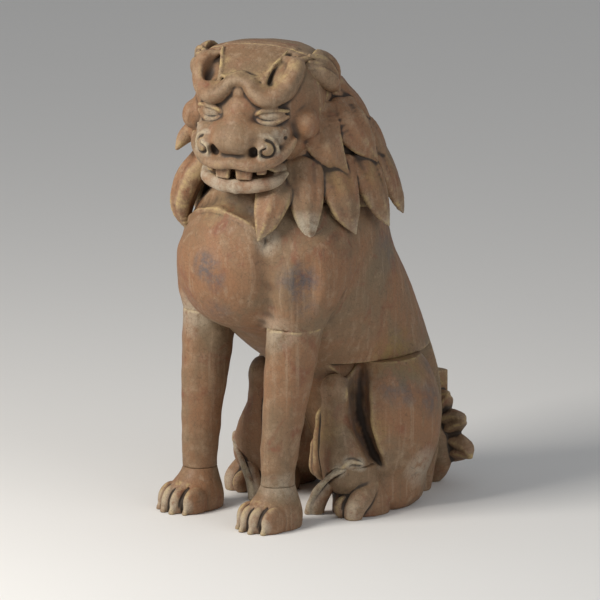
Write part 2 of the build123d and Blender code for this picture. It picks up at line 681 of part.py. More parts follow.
# Every piece in its place, one file each
pieces = {
    "left_trunk": left_trunk.part,
    "right_trunk": right_trunk.part,
    "face": HEAD * face.part,
    "lower_jaw": HEAD * lower_jaw.part,
    "crown": HEAD * crown.part,
    "left_mane": left_mane.part,
    "right_mane": right_mane.part,
    "back_mane": back_mane.part,
    "tail": tail.part,
    "trunk_pegs": pegs(trunk_peg_planes),
    "haunch_pegs": pegs(haunch_peg_planes),
    "leg_pegs": pegs(leg_peg_planes),
    "wrist_pegs": pegs(wrist_peg_planes),
    "ankle_pegs": pegs(ankle_peg_planes),
    "mane_pegs": pegs(side_mane_planes + back_mane_planes),
    "tail_peg": pegs(tail_peg_planes),
    "face_pegs": HEAD * pegs(face_peg_planes),
    "jaw_pegs": HEAD * pegs(jaw_peg_planes, length=JAW_PEG_LENGTH),
    "ear_pegs": HEAD * pegs(ear_peg_planes, EAR_PEG_RADIUS, EAR_PEG_LENGTH),
    "trunk_staples": trunk_staples.part,
}
pieces["left_ear"], pieces["right_ear"] = head_ears
for name, limb in {
    "foreleg": left_foreleg,
    "forepaw": left_forepaw,
    "haunch": left_haunch,
    "hindpaw": left_hindpaw,
}.items():
    pieces["left_" + name], pieces["right_" + name] = pair(limb.part)

os.makedirs("parts", exist_ok=True)
for name, piece in pieces.items():
    piece.label = name
    export_step(piece, f"parts/{name}.step")
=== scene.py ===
import json
import math

import bmesh
import bpy
import numpy as np
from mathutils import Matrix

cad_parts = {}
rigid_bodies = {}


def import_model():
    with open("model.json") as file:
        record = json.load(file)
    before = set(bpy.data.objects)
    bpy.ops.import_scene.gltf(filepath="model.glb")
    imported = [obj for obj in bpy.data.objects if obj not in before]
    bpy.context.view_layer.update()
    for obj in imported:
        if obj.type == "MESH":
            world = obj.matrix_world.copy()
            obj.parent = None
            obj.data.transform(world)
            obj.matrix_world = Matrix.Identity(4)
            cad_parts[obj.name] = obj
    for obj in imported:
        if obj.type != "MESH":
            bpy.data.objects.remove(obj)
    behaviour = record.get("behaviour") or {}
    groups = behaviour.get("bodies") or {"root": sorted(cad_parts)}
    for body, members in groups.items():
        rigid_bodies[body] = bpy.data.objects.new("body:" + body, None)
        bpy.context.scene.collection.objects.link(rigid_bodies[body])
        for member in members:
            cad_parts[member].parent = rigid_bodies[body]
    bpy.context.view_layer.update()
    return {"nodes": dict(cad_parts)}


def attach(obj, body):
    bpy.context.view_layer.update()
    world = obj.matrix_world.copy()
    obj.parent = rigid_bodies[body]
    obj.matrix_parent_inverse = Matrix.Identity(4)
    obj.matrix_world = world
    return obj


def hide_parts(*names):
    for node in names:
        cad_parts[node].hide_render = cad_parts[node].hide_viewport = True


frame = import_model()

import openvdb
from bpy.props import FloatProperty, FloatVectorProperty, PointerProperty
from mathutils import Euler, Matrix, Vector

bl_info = {
    "name": "Guardian Lion Statue",
    "version": (1, 0, 0),
    "blender": (4, 5, 0),
    "location": "View3D > Sidebar > Lion",
    "description": "Carves a seated guardian lion in worn painted wood, round its packed blocks",
    "category": "Object",
}

MM = 0.001

# The carving's sizes are in millimetres. Distances beyond this one are not told apart
FAR = 5.0

# Keeps an oval's own middle, where its slope is zero, off the cells
OFF_CENTRE = 1e-3

# Places of the joints. Those of the face and mouth are in the head's own frame
HEAD_PLACE = (2.0, -55.0, 290.0)
NECK_HEIGHT = 238.0
LEG_JOINT = 142.0
HAUNCH_TOP = 107.0
HAUNCH_JOINT = 36.0
WRIST_HEIGHT = 30.0
ANKLE_HEIGHT = 36.0
FACE_JOINT = -4.0
MOUTH_JOINT = -37.0
MANE_Y = -19.0
MANE_BOARD_ANGLE = 94.0
MANE_OPENING = 28.0
SEAT_FRONT = -36.0

# Where the head ends below and above, and the dome of its top
HEAD_LOW = -52.0
HEAD_HIGH = 47.0
HEAD_DOME = 45.6
HEAD_DOME_Y = 2
HEAD_BEND = 0.0033

# How far a piece reaches into the one it is cut to
OVERLAP = 1.5
MANE_OVERLAP = 2.0

# Share of the tool marks' depth on hair and paws, and on the head
HAIR_MARKS = 0.6
FACE_MARKS = 0.5

# Reach of the fine and the broad relief, the height that counts as full, and the most that is kept
FINE_RELIEF = (1.6, 0.5)
BROAD_RELIEF = (4.5, 1.4)
MOST_RELIEF = 1.5

# Level rings: height, place of the middle, half widths along X and Y
TORSO = [
    (height, 0, (front + back) / 2, half_width, (back - front) / 2)
    for height, half_width, front, back in (
        (0, 40, 24, 94),
        (45, 48, 8, 102),
        (90, 54, -18, 97),
        (122, 56, -60, 86),
        (152, 60, -92, 73),
        (186, 63, -103, 53),
        (216, 58, -98, 45),
        (238, 44, -78, 36),
    )
]
SKULL = (
    (-52, 0, 12, 28, 27),
    (-40, 0, 6, 34, 32),
    (-22, 0, 2, 43, 43),
    (4, 0, 1, 46, 46),
    (26, 0, 1, 44, 43),
    (37, 0, 1.5, 42, 41),
    (50, 0, 2, 40, 39),
)
COLLAR = (
    (206, 0, -16, 54, 63),
    (250, 0, -20, 54, 58),
    (286, 0, -28, 46, 46),
    (312, 0, -34, 30, 30),
)


def smooth_min(a, b, blend):
    """The lesser of two distances, with the corner between them rounded over blend."""
    low = np.minimum(a, b)
    if blend <= 0:
        return low
    corner = np.clip(blend - np.abs(a - b), 0, None)
    return low - corner * corner / (4 * blend)


def along(rows, count):
    """Rows of numbers carried along a smooth curve, count steps to each span."""
    rows = np.array(rows, float)
    ends = np.vstack([2 * rows[0] - rows[1], rows, 2 * rows[-1] - rows[-2]])
    steps = []
    for a, b, c, d in zip(ends, ends[1:], ends[2:], ends[3:]):
        for t in np.arange(count) / count:
            curve = 2 * b + (c - a) * t + (2 * a - 5 * b + 4 * c - d) * t**2
            steps.append((curve + (3 * b - a - 3 * c + d) * t**3) / 2)
    return np.array([*steps, rows[-1]])


def flip(rows, side, column=0):
    """Rows on the left as they are, or mirrored to the right when side is -1. Their x is in a column."""
    return [(*row[:column], row[column] * side, *row[column + 1 :]) for row in rows]


def oval(a, b, c, radii):
    """About the distance to an ellipsoid's surface, below zero inside."""
    a = a + OFF_CENTRE
    shares = (a / radii[0]) ** 2 + (b / radii[1]) ** 2 + (c / radii[2]) ** 2
    slopes = (a / radii[0] ** 2) ** 2 + (b / radii[1] ** 2) ** 2 + (c / radii[2] ** 2) ** 2
    size = np.sqrt(shares)
    return size * (size - 1) / np.sqrt(slopes)


class Ball:
    """An ellipsoid, turned if asked, and mirrored to the right when side is -1."""

    def __init__(self, centre, radii, turn=(0, 0, 0), side=1):
        self.centre = np.array(flip([centre], side)[0], float)
        self.radii = radii
        turn = (turn[0], turn[1] * side, turn[2] * side)
        self.axes = np.array(Euler([math.radians(angle) for angle in turn]).to_matrix()).T
        reach = np.abs(self.axes.T) @ np.array(radii, float)
        self.low = self.centre - reach
        self.high = self.centre + reach

    def distance(self, x, y, z):
        x, y, z = x - self.centre[0], y - self.centre[1], z - self.centre[2]
        return oval(*(axis[0] * x + axis[1] * y + axis[2] * z for axis in self.axes), self.radii)


class Loft:
    """A form through level rings, drawn in by inset, and mirrored to the right when side is -1."""

    def __init__(self, rings, inset=0.0, side=1):
        self.rings = np.array(flip(rings, side, column=1), float)
        self.rings[:, 3:] -= inset
        reach = self.rings[:, 3:]
        middle = self.rings[:, 1:3]
        self.low = np.array([*(middle - reach).min(0), self.rings[0, 0]])
        self.high = np.array([*(middle + reach).max(0), self.rings[-1, 0]])

    def at(self, level):
        """The ring at a level, on smooth curves through the given rings."""
        heights = self.rings[:, 0]
        slopes = np.gradient(self.rings[:, 1:], heights, axis=0)
        spot = np.clip(np.searchsorted(heights, level) - 1, 0, len(heights) - 2)
        gap = heights[spot + 1] - heights[spot]
        t = ((level - heights[spot]) / gap)[..., None]
        a, b = self.rings[spot, 1:], self.rings[spot + 1, 1:]
        rise = gap[..., None]
        start, end = slopes[spot] * rise, slopes[spot + 1] * rise
        curve = (2 * t**3 - 3 * t**2 + 1) * a + (t**3 - 2 * t**2 + t) * start
        return np.moveaxis(curve + (3 * t**2 - 2 * t**3) * b + (t**3 - t**2) * end, -1, 0)

    def distance(self, x, y, z):
        middle_x, middle_y, half_x, half_y = self.at(np.clip(z, self.low[2], self.high[2]))
        side = oval(x - middle_x, y - middle_y, 0 * z, (half_x, half_y, half_y))
        return np.maximum(side, np.maximum(self.low[2] - z, z - self.high[2]))


class Stroke:
    """A stroke through rows of x, y, z, half width and, where out is given, half depth along out.

    With strands, its outer side is carved in that many waves across its width, and a wave's depth is
    the carving's share of the half depth. It is mirrored to the right when side is -1.
    """

    def __init__(self, rows, side=1, out=None, count=5, strands=0.0, carving=0.08):
        self.rows = along(flip(rows, side), count)
        self.rows[:, 3:] = np.clip(self.rows[:, 3:], 0.3, None)
        self.out = None if out is None else flip([out], side)[0]
        self.strands = strands
        self.carving = carving
        reach = self.rows[:, 3:].max() + 1
        self.low = self.rows[:, :3].min(0) - reach
        self.high = self.rows[:, :3].max(0) + reach

    def distance(self, x, y, z):
        best = None
        for a, b in zip(self.rows, self.rows[1:]):
            step = b[:3] - a[:3]
            length = np.linalg.norm(step)
            ahead = step / length
            p, q, r = x - a[0], y - a[1], z - a[2]
            t = np.clip((p * ahead[0] + q * ahead[1] + r * ahead[2]) / length, 0, 1)
            p, q, r = p - t * step[0], q - t * step[1], r - t * step[2]
            width = a[3] + (b[3] - a[3]) * t
            if self.out is None:
                found = np.sqrt(p * p + q * q + r * r) - width
            else:
                across = np.cross(ahead, self.out)
                across /= np.linalg.norm(across)
                up = np.cross(across, ahead)
                depth = a[4] + (b[4] - a[4]) * t
                parts = [p * way[0] + q * way[1] + r * way[2] for way in (across, up, ahead)]
                found = oval(*parts, (width, depth, depth))
                if self.strands:
                    found += self.carving * depth * np.cos(math.pi * self.strands * parts[0] / width)
            best = found if best is None else np.minimum(best, found)
        return best


class Clay:
    """A block of distances between two corners, that forms are added to and cut from."""

    def __init__(self, low, high, step, side=1):
        left, right = sorted((low[0] * side, high[0] * side))
        self.low = np.array((left, *low[1:]), float)
        self.step = step
        count = np.ceil((np.array((right, *high[1:])) - self.low) / step).astype(int) + 1
        self.field = np.full(count, FAR, np.float32)
        self.carved = None

    def window(self, low, high):
        """The span of cells from low to high, and the cells' places."""
        first = np.clip(np.floor((low - self.low) / self.step).astype(int), 0, self.field.shape)
        last = np.clip(np.ceil((high - self.low) / self.step).astype(int) + 1, 0, self.field.shape)
        axes = [
            start + self.step * np.arange(a, b, dtype=np.float32)
            for start, a, b in zip(self.low, first, last)
        ]
        span = tuple(slice(a, b) for a, b in zip(first, last))
        return span, np.meshgrid(*axes, indexing="ij", sparse=True)

    def places(self):
        """Places of all the cells along X, Y and Z."""
        size = np.array(self.field.shape) * self.step
        return self.window(self.low, self.low + size)[1]

    def add(self, form, blend=0.0):
        span, spots = self.window(form.low - blend - FAR, form.high + blend + FAR)
        self.field[span] = smooth_min(self.field[span], form.distance(*spots), blend)

    def cut(self, form, blend=0.0):
        span, spots = self.window(form.low - blend - FAR, form.high + blend + FAR)
        self.field[span] = -smooth_min(-self.field[span], form.distance(*spots), blend)

    def copy(self):
        twin = Clay(self.low, self.low, self.step)
        twin.field = self.field.copy()
        twin.carved = self.carved
        return twin

    def hold_relief(self):
        """Keeps the relief as it is now, before the joints are cut."""
        self.carved = self.field.copy()

    def join(self, distance, blend):
        """Adds a form given by its distances all over the block."""
        self.field = smooth_min(self.field, distance, blend).astype(np.float32)

    def keep(self, distance, blend=0.0):
        """Cuts away what lies where the distance is above zero."""
        self.field = -smooth_min(-self.field, -distance, blend).astype(np.float32)

    def tool_marks(self, depth):
        """Shallow waves, as a knife leaves them."""
        x, y, z = self.places()
        waves = np.sin(0.23 * x + 0.11 * y + 0.17 * z) * np.sin(0.15 * y - 0.12 * x + 0.05 * z)
        waves = waves + 0.6 * np.sin(0.41 * z + 0.2 * x) * np.sin(0.37 * x - 0.29 * y + 1.3)
        self.field += (depth * waves).astype(np.float32)

    def sample(self, values, points):
        """Values of the block's cells at points."""
        spots = (points - self.low) / self.step
        base = np.clip(np.floor(spots).astype(int), 0, np.array(values.shape) - 2)
        part = spots - base
        total = np.zeros(len(points))
        for corner in np.ndindex(2, 2, 2):
            weight = np.prod(np.where(corner, part, 1 - part), axis=1)
            total += weight * values[tuple((base + corner).T)]
        return total

    def ridges(self, points, reach):
        """How far each point stands out of its surroundings, or lies in them, within reach."""
        field = np.clip(self.field if self.carved is None else self.carved, -FAR, FAR)
        blurred = field
        half = max(1, round(reach / self.step))
        for axis in range(3):
            padded = np.pad(
                blurred, [(half + 1, half) if a == axis else (0, 0) for a in range(3)], mode="edge"
            )
            sums = np.cumsum(padded, axis=axis, dtype=np.float64)
            size = field.shape[axis]
            width = 2 * half + 1
            upper = np.take(sums, np.arange(width, width + size), axis=axis)
            blurred = ((upper - np.take(sums, np.arange(size), axis=axis)) / width).astype(np.float32)
        return self.sample(blurred - field, points)

    def mesh(self, name, place=None):
        """The block's surface as a mesh in metres, with its fine and broad relief stored on it."""
        grid = openvdb.FloatGrid(FAR)
        grid.copyFromArray(np.clip(self.field, -FAR, FAR))
        points, quads = grid.convertToQuads()
        points = self.low + points.astype(float) * self.step
        corners = points[quads]
        volume = np.einsum(
            "ij,ij->i", corners[:, 0], np.cross(corners[:, 1] - corners[:, 0], corners[:, 2] - corners[:, 0])
        ).sum()
        if volume < 0:
            quads = quads[:, ::-1]
        mesh = bpy.data.meshes.new(name)
        mesh.from_pydata(points * MM, [], quads.astype(int).tolist())
        mesh.polygons.foreach_set("use_smooth", np.ones(len(quads), bool))
        for key, (reach, full) in (("fine", FINE_RELIEF), ("broad", BROAD_RELIEF)):
            relief = np.clip(self.ridges(points, reach) / full, -MOST_RELIEF, MOST_RELIEF)
            layer = mesh.attributes.new(key, "FLOAT", "POINT")
            layer.data.foreach_set("value", relief.astype(np.float32))
        if place is not None:
            mesh.transform(place)
        return mesh


def one_side(mesh, name, *planes):
    """A copy of a mesh on the side of each plane that its normal points to, closed by flat faces."""
    form = bmesh.new()
    form.from_mesh(mesh)
    for point, normal in planes:
        whole = [*form.verts, *form.edges, *form.faces]
        bmesh.ops.bisect_plane(
            form, geom=whole, dist=1e-7, plane_co=point, plane_no=normal, clear_inner=True
        )
        edges = [edge for edge in form.edges if edge.is_boundary]
        for edge in edges:
            edge.smooth = False
        caps = bmesh.ops.holes_fill(form, edges=edges)["faces"]
        bmesh.ops.triangulate(form, faces=caps)
    bmesh.ops.recalc_face_normals(form, faces=form.faces)
    copy = bpy.data.meshes.new(name)
    form.to_mesh(copy)
    form.free()
    return copy


def coordinates(mesh):
    """A mesh's vertices in millimetres."""
    places = np.zeros(len(mesh.vertices) * 3, np.float32)
    mesh.vertices.foreach_get("co", places)
    return places.reshape(-1, 3) / MM


# Traces of old paint: which colour, where, how far it reaches and how strong it is
PALE, CREAM, BLUE, MOSS = range(4)
TRACES = (
    (BLUE, (8, -113, 187), 14, 1.0),
    (BLUE, (15, -110, 178), 11, 0.8),
    (BLUE, (12, -108, 152), 14, 0.5),
    (BLUE, (57, -70, 177), 18, 1.0),
    (BLUE, (57, -66, 160), 13, 0.7),
    (BLUE, (66, 18, 92), 20, 0.9),
    (BLUE, (70, 42, 78), 16, 0.7),
    (BLUE, (60, 50, 100), 14, 0.6),
    (BLUE, (-66, 20, 92), 20, 0.8),
    (BLUE, (55, 20, 190), 24, 0.5),
    (BLUE, (-50, 40, 170), 26, 0.5),
    (MOSS, (58, 24, 107), 26, 0.9),
    (MOSS, (-58, 24, 107), 26, 0.9),
    (MOSS, (30, -24, 60), 22, 0.7),
    (MOSS, (8, 106, 68), 16, 1.0),
    (MOSS, (62, -2, 60), 16, 0.6),
    (PALE, (66, 36, 30), 18, 0.7),
    (PALE, (43, -103, 8), 14, 0.5),
    (PALE, (-43, -103, 8), 14, 0.6),
    (PALE, (43, -76, 29), 16, 0.55),
    (PALE, (60, -16, 10), 11, 0.7),
    (CREAM, (0, -92, 222), 16, 0.5),
    (PALE, (37, -82, 204), 12, 0.7),
    (PALE, (43, -80, 141), 18, 0.4),
    (PALE, (-43, -80, 140), 20, 0.5),
)


def dabs(kind, places, reach, strength):
    """Traces of one colour at places."""
    return [(kind, tuple(place[:3]), reach, strength) for place in places]


def finish_piece(mesh, node, traces=()):
    """Makes a mesh the piece that stands for a packed block, with its traces of paint."""
    places = coordinates(mesh)
    paint = np.zeros((len(places), 4), np.float32)
    for channel, centre, reach, strength in (*TRACES, *traces):
        share = np.clip(1 - np.linalg.norm(places - np.array(centre), axis=1) / reach, 0, 1)
        paint[:, channel] = np.maximum(paint[:, channel], strength * share * (2 - share))
    layer = mesh.color_attributes.new("paint", "FLOAT_COLOR", "POINT")
    layer.data.foreach_set("color", paint.ravel())
    piece = bpy.data.objects.new("carved_" + node, mesh)
    bpy.context.scene.collection.objects.link(piece)
    mesh.materials.append(painted_wood())
    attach(piece, "root")
    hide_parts(node)


# The fourth channel of a colour, and the mix node's sockets for colours
ALPHA = 3
MIX_FROM, MIX_TO, MIX_RESULT = 6, 7, 2


class Shader:
    """A material's nodes, added one by one."""

    def __init__(self, name):
        self.material = bpy.data.materials.new(name)
        self.material.use_nodes = True
        self.nodes = self.material.node_tree.nodes
        self.links = self.material.node_tree.links
        self.surface = self.nodes["Principled BSDF"]

    def put(self, socket, value):
        if isinstance(value, bpy.types.NodeSocket):
            self.links.new(value, socket)
        elif socket.type == "RGBA":
            socket.default_value = (*value, 1.0)
        else:
            socket.default_value = value

    def place(self, scale):
        """The point on the object, stretched by scale."""
        spot = self.nodes.new("ShaderNodeTexCoord")
        mapping = self.nodes.new("ShaderNodeMapping")
        mapping.inputs["Scale"].default_value = scale
        self.links.new(spot.outputs["Object"], mapping.inputs["Vector"])
        return mapping.outputs["Vector"]

    def noise(self, scale, detail, rough, stretch=(1, 1, 1), warp=0.0):
        node = self.nodes.new("ShaderNodeTexNoise")
        self.put(node.inputs["Vector"], self.place(stretch))
        node.inputs["Scale"].default_value = scale
        node.inputs["Detail"].default_value = detail
        node.inputs["Roughness"].default_value = rough
        node.inputs["Distortion"].default_value = warp
        return node.outputs["Fac"]

    def cracks(self, scale):
        node = self.nodes.new("ShaderNodeTexVoronoi")
        node.feature = "DISTANCE_TO_EDGE"
        self.put(node.inputs["Vector"], self.place((1, 1, 1)))
        node.inputs["Scale"].default_value = scale
        return node.outputs["Distance"]

    def attribute(self, name, channel=None):
        node = self.nodes.new("ShaderNodeAttribute")
        node.attribute_name = name
        if channel is None:
            return node.outputs["Fac"]
        if channel == ALPHA:
            return node.outputs["Alpha"]
        split = self.nodes.new("ShaderNodeSeparateColor")
        self.links.new(node.outputs["Color"], split.inputs["Color"])
        return split.outputs[channel]

    def math(self, kind, a, b):
        node = self.nodes.new("ShaderNodeMath")
        node.operation = kind
        self.put(node.inputs[0], a)
        self.put(node.inputs[1], b)
        return node.outputs[0]

    def ramp(self, value, low, high, start=0.0, end=1.0):
        """Value carried from the span low to high over to the span start to end."""
        node = self.nodes.new("ShaderNodeMapRange")
        node.interpolation_type = "SMOOTHSTEP"
        for key, number in (("From Min", low), ("From Max", high), ("To Min", start), ("To Max", end)):
            node.inputs[key].default_value = number
        self.put(node.inputs["Value"], value)
        return node.outputs["Result"]

    def mix(self, share, a, b):
        node = self.nodes.new("ShaderNodeMix")
        node.data_type = "RGBA"
        self.put(node.inputs[0], share)
        self.put(node.inputs[MIX_FROM], a)
        self.put(node.inputs[MIX_TO], b)
        return node.outputs[MIX_RESULT]

    def bump(self, height, depth, strength, under=None):
        node = self.nodes.new("ShaderNodeBump")
        node.inputs["Strength"].default_value = strength
        node.inputs["Distance"].default_value = depth
        self.links.new(height, node.inputs["Height"])
        if under is not None:
            self.links.new(under, node.inputs["Normal"])
        return node.outputs["Normal"]


def painted_wood():
    """Old paint over wood: worn on the ridges, darkened with painted shade in the hollows, crackled all over.
    """
    if "Painted wood" in bpy.data.materials:
        return bpy.data.materials["Painted wood"]
    look = bpy.context.scene.lion_finish
    shader = Shader("Painted wood")
    fine = shader.attribute("fine")
    broad = shader.attribute("broad")
    clouds = shader.noise(scale=16, detail=5, rough=0.6, warp=0.6)
    patches = shader.noise(scale=38, detail=6, rough=0.65, warp=1.2)
    flakes = shader.noise(scale=120, detail=6, rough=0.7)
    grain = shader.noise(scale=9, detail=5, rough=0.6, stretch=(26, 26, 1.2))
    specks = shader.noise(scale=520, detail=3, rough=0.6)
    cracks = shader.cracks(330)
    colour = shader.mix(shader.ramp(clouds, 0.36, 0.66), look.paint, look.earth)
    colour = shader.mix(shader.ramp(patches, 0.52, 0.72, 0, 0.75), colour, look.red)
    worn = shader.ramp(shader.math("ADD", flakes, shader.math("MULTIPLY", broad, 0.22)), 0.5, 0.74, 0, 0.5)
    colour = shader.mix(worn, colour, look.worn)
    colour = shader.mix(shader.ramp(grain, 0.52, 0.72, 0, 0.5), colour, look.earth)
    colour = shader.mix(shader.ramp(grain, 0.47, 0.3, 0, 0.45), colour, look.worn)
    ragged = shader.ramp(flakes, 0.36, 0.62)
    # Blue is mostly real blotches, but on the floors of the haunch folds it is painted shade
    for channel, shade, most in ((BLUE, look.blue, 0.85), (MOSS, look.moss, 0.7), (CREAM, look.cream, 0.8)):
        share = shader.math("MULTIPLY", shader.attribute("paint", channel), ragged)
        colour = shader.mix(shader.math("MULTIPLY", share, most), colour, shade)
    chalk = shader.math("MULTIPLY", shader.attribute("paint", PALE), shader.ramp(flakes, 0.3, 0.55))
    edges = shader.math("MULTIPLY", shader.ramp(fine, 0.22, 0.75), shader.ramp(flakes, 0.4, 0.62, 0, 0.85))
    colour = shader.mix(edges, colour, look.cream)
    colour = shader.mix(shader.math("MULTIPLY", chalk, 0.8), colour, look.chalk)
    # Painted shade: the hollows and creases, found from the fine and broad relief, darken towards the soot
    # colour
    soot_and_shade = shader.ramp(shader.math("ADD", fine, shader.math("MULTIPLY", broad, 0.6)), -0.12, -0.75, 0, 0.9)
    colour = shader.mix(soot_and_shade, colour, look.soot_and_shade)
    colour = shader.mix(shader.ramp(cracks, 0.05, 0.0, 0, 0.3), colour, look.soot_and_shade)
    colour = shader.mix(shader.ramp(specks, 0.62, 0.74, 0, 0.45), colour, look.soot_and_shade)
    shader.put(shader.surface.inputs["Base Color"], colour)
    shader.put(shader.surface.inputs["Roughness"], shader.ramp(flakes, 0.3, 0.7, 0.5, 0.78))
    shader.surface.inputs["Specular IOR Level"].default_value = 0.35
    normal = shader.bump(grain, depth=0.0006, strength=0.25)
    normal = shader.bump(flakes, depth=0.0007, strength=0.45, under=normal)
    normal = shader.bump(shader.ramp(cracks, 0.0, 0.09), depth=0.0003, strength=0.25, under=normal)
    normal = shader.bump(specks, depth=0.0004, strength=0.3, under=normal)
    shader.put(shader.surface.inputs["Normal"], normal)
    return shader.material


def peg_wood():
    """Bare straight-grained wood."""
    look = bpy.context.scene.lion_finish
    shader = Shader("Peg wood")
    grain = shader.noise(scale=14, detail=5, rough=0.6, stretch=(20, 20, 2))
    colour = shader.mix(shader.ramp(grain, 0.35, 0.65), look.peg, look.earth)
    shader.put(shader.surface.inputs["Base Color"], colour)
    shader.put(shader.surface.inputs["Roughness"], shader.ramp(grain, 0.3, 0.7, 0.55, 0.75))
    shader.put(shader.surface.inputs["Normal"], shader.bump(grain, depth=0.0004, strength=0.3))
    return shader.material


def forged_iron():
    """Dark hammered iron with a little rust."""
    look = bpy.context.scene.lion_finish
    shader = Shader("Forged iron")
    hammer = shader.noise(scale=160, detail=3, rough=0.5)
    rust = shader.noise(scale=70, detail=6, rough=0.65, warp=0.8)
    colour = shader.mix(shader.ramp(rust, 0.52, 0.7, 0, 0.8), look.iron, look.red)
    shader.put(shader.surface.inputs["Base Color"], colour)
    shader.put(shader.surface.inputs["Metallic"], shader.ramp(rust, 0.5, 0.7, 0.9, 0.2))
    shader.put(shader.surface.inputs["Roughness"], shader.ramp(rust, 0.4, 0.7, 0.45, 0.85))
    shader.put(shader.surface.inputs["Normal"], shader.bump(hammer, depth=0.0006, strength=0.4))
    return shader.material


def pale_floor():
    """A plain pale floor with a faint unevenness."""
    look = bpy.context.scene.lion_stage
    shader = Shader("Pale floor")
    clouds = shader.noise(scale=3, detail=4, rough=0.5)
    darker = [0.96 * value for value in look.floor]
    shader.put(shader.surface.inputs["Base Color"], shader.mix(clouds, look.floor, darker))
    shader.put(shader.surface.inputs["Roughness"], shader.ramp(clouds, 0.3, 0.7, 0.7, 0.85))
    return shader.material


def pair(name):
    """Nodes and sides of a left and a right piece."""
    return (("left_" + name, 1), ("right_" + name, -1))


# In the tables below a ball has its middle, half widths and, where it is turned, its turn in degrees.
# A stroke has rows of x, y, z and half width, and a loft has level rings. What lies on one side only is
# given on the left, apart from what is named for the right.
CHEST = ((0, -68, 181), (50, 46.5, 47))
CHEST_SEAT = ((0, -68, 181), (47, 43.5, 46))
CHEST_RIM = (
    (37, -87, 204, 0.6),
    (35.5, -87.5, 208.5, 1.8),
    (30, -88, 214, 2.5),
    (17, -91.5, 220.5, 2.7),
    (0, -93, 223.5, 2.8),
)
CHEST_ARCH = (
    (45, -90, 199, 1),
    (43.5, -88, 209, 3.5),
    (37, -87, 219, 5.5),
    (25, -88, 227, 8),
    (0, -95, 236, 10.5),
)
ARM = (
    (LEG_JOINT, 43, -60, 18.8, 20.8),
    (171, 48, -52, 23, 31),
    (199, 45.5, -45, 23, 31),
    (224, 38, -38, 12, 22),
)
ARM_MUSCLE = ((60, -34, 204, 3), (63, -42, 190, 5), (62, -52, 170, 5.5), (57, -60, 150, 4))
ARM_HOLLOW = ((68, -76, 176), (8, 12, 24))
ARM_VALLEY = ((40, -88, 206, 2), (45.5, -91, 188, 3), (46, -90.5, 170, 3), (43, -87, 152, 2))
SPINE = (
    (0, 36, 232, 5),
    (0, 46, 205, 6),
    (0, 64, 165, 6),
    (0, 84, 122, 6),
    (0, 95, 85, 6),
    (0, 98, 50, 5),
)


def carve_trunk(look):
    """Torso, chest dome and upper arms, in two halves."""
    clay = Clay((-76, -120, -4), (76, 110, 242), look.body_step)
    clay.add(Loft(TORSO))
    clay.add(Ball(*CHEST), blend=5)
    for side in (1, -1):
        clay.add(Loft(ARM, side=side), blend=9)
        clay.add(Stroke(ARM_MUSCLE, side), blend=6)
        clay.cut(Ball(*ARM_HOLLOW, side=side), blend=8)
        clay.cut(Stroke(ARM_VALLEY, side), blend=9)
        clay.add(Stroke(CHEST_RIM, side), blend=2)
        clay.cut(Stroke(CHEST_ARCH, side), blend=2)
    clay.add(Stroke(SPINE), blend=10)
    clay.tool_marks(look.tool_marks)
    x, y, z = clay.places()
    seat = np.maximum(np.maximum(HAUNCH_JOINT - np.abs(x), z - HAUNCH_TOP), SEAT_FRONT - y)
    clay.keep(-seat)
    clay.keep(-z)
    clay.keep(z - NECK_HEIGHT)
    whole = clay.mesh("carved_trunk")
    for node, side in pair("trunk"):
        half = one_side(whole, "carved_" + node, ((0, 0, 0), (side, 0, 0)))
        finish_piece(half, node)
    bpy.data.meshes.remove(whole)


FORELEG = (
    (WRIST_HEIGHT - 6, 40, -75, 11.8, 13),
    (WRIST_HEIGHT, 40, -74.6, 11.4, 12.6),
    (38, 40.1, -74.2, 11.3, 12.5),
    (52, 40.5, -73, 12.5, 13.7),
    (66, 41, -71.6, 13.1, 14.3),
    (84, 41.6, -69.2, 14.6, 15.9),
    (106, 42.4, -66, 16.3, 17.7),
    (130, 43, -62.4, 18.1, 19.8),
    (LEG_JOINT, 43, -60.4, 19, 21),
)
FORELEG_SHIN = ((41, -83, 42, 2.5), (41.5, -82, 70, 3.4), (42, -79.5, 110, 4), (42.5, -76.5, 138, 4))


def carve_forelegs(look):
    """Straight columns that narrow to the wrist."""
    for node, side in pair("foreleg"):
        clay = Clay((16, -97, 24), (70, -30, 148), look.limb_step, side)
        clay.add(Loft(FORELEG, side=side))
        clay.add(Stroke(FORELEG_SHIN, side), blend=8)
        clay.tool_marks(look.tool_marks)
        z = clay.places()[2]
        clay.keep(z - LEG_JOINT)
        clay.hold_relief()
        clay.cut(Loft(TORSO, OVERLAP))
        clay.keep(WRIST_HEIGHT - z)
        finish_piece(clay.mesh("carved_" + node), node)


FOREPAW = (
    (-3, 40.5, -79, 16, 22),
    (8, 40.5, -79, 17, 23),
    (17, 40.4, -78, 15.8, 20),
    (24, 40.2, -75.6, 13, 15.4),
    (WRIST_HEIGHT, 40, -74.6, 11.4, 12.6),
    (WRIST_HEIGHT + 6, 40, -74.2, 11.6, 12.8),
)
# Toes: place and half width. The slit between two of them: shares of their reach and height, and half width
TOES = ((27.5, -92.5, 5.4), (36, -97, 5.6), (44.8, -97, 5.6), (53.4, -92.5, 5.4))
TOE_SLIT = ((-0.75, 0, 0.9), (-0.6, 0.5, 0.8), (-0.1, 0.86, 0.7), (0.4, 1.0, 0.5))
TOE_HEIGHT = 18.5
TOE_REACH = 11


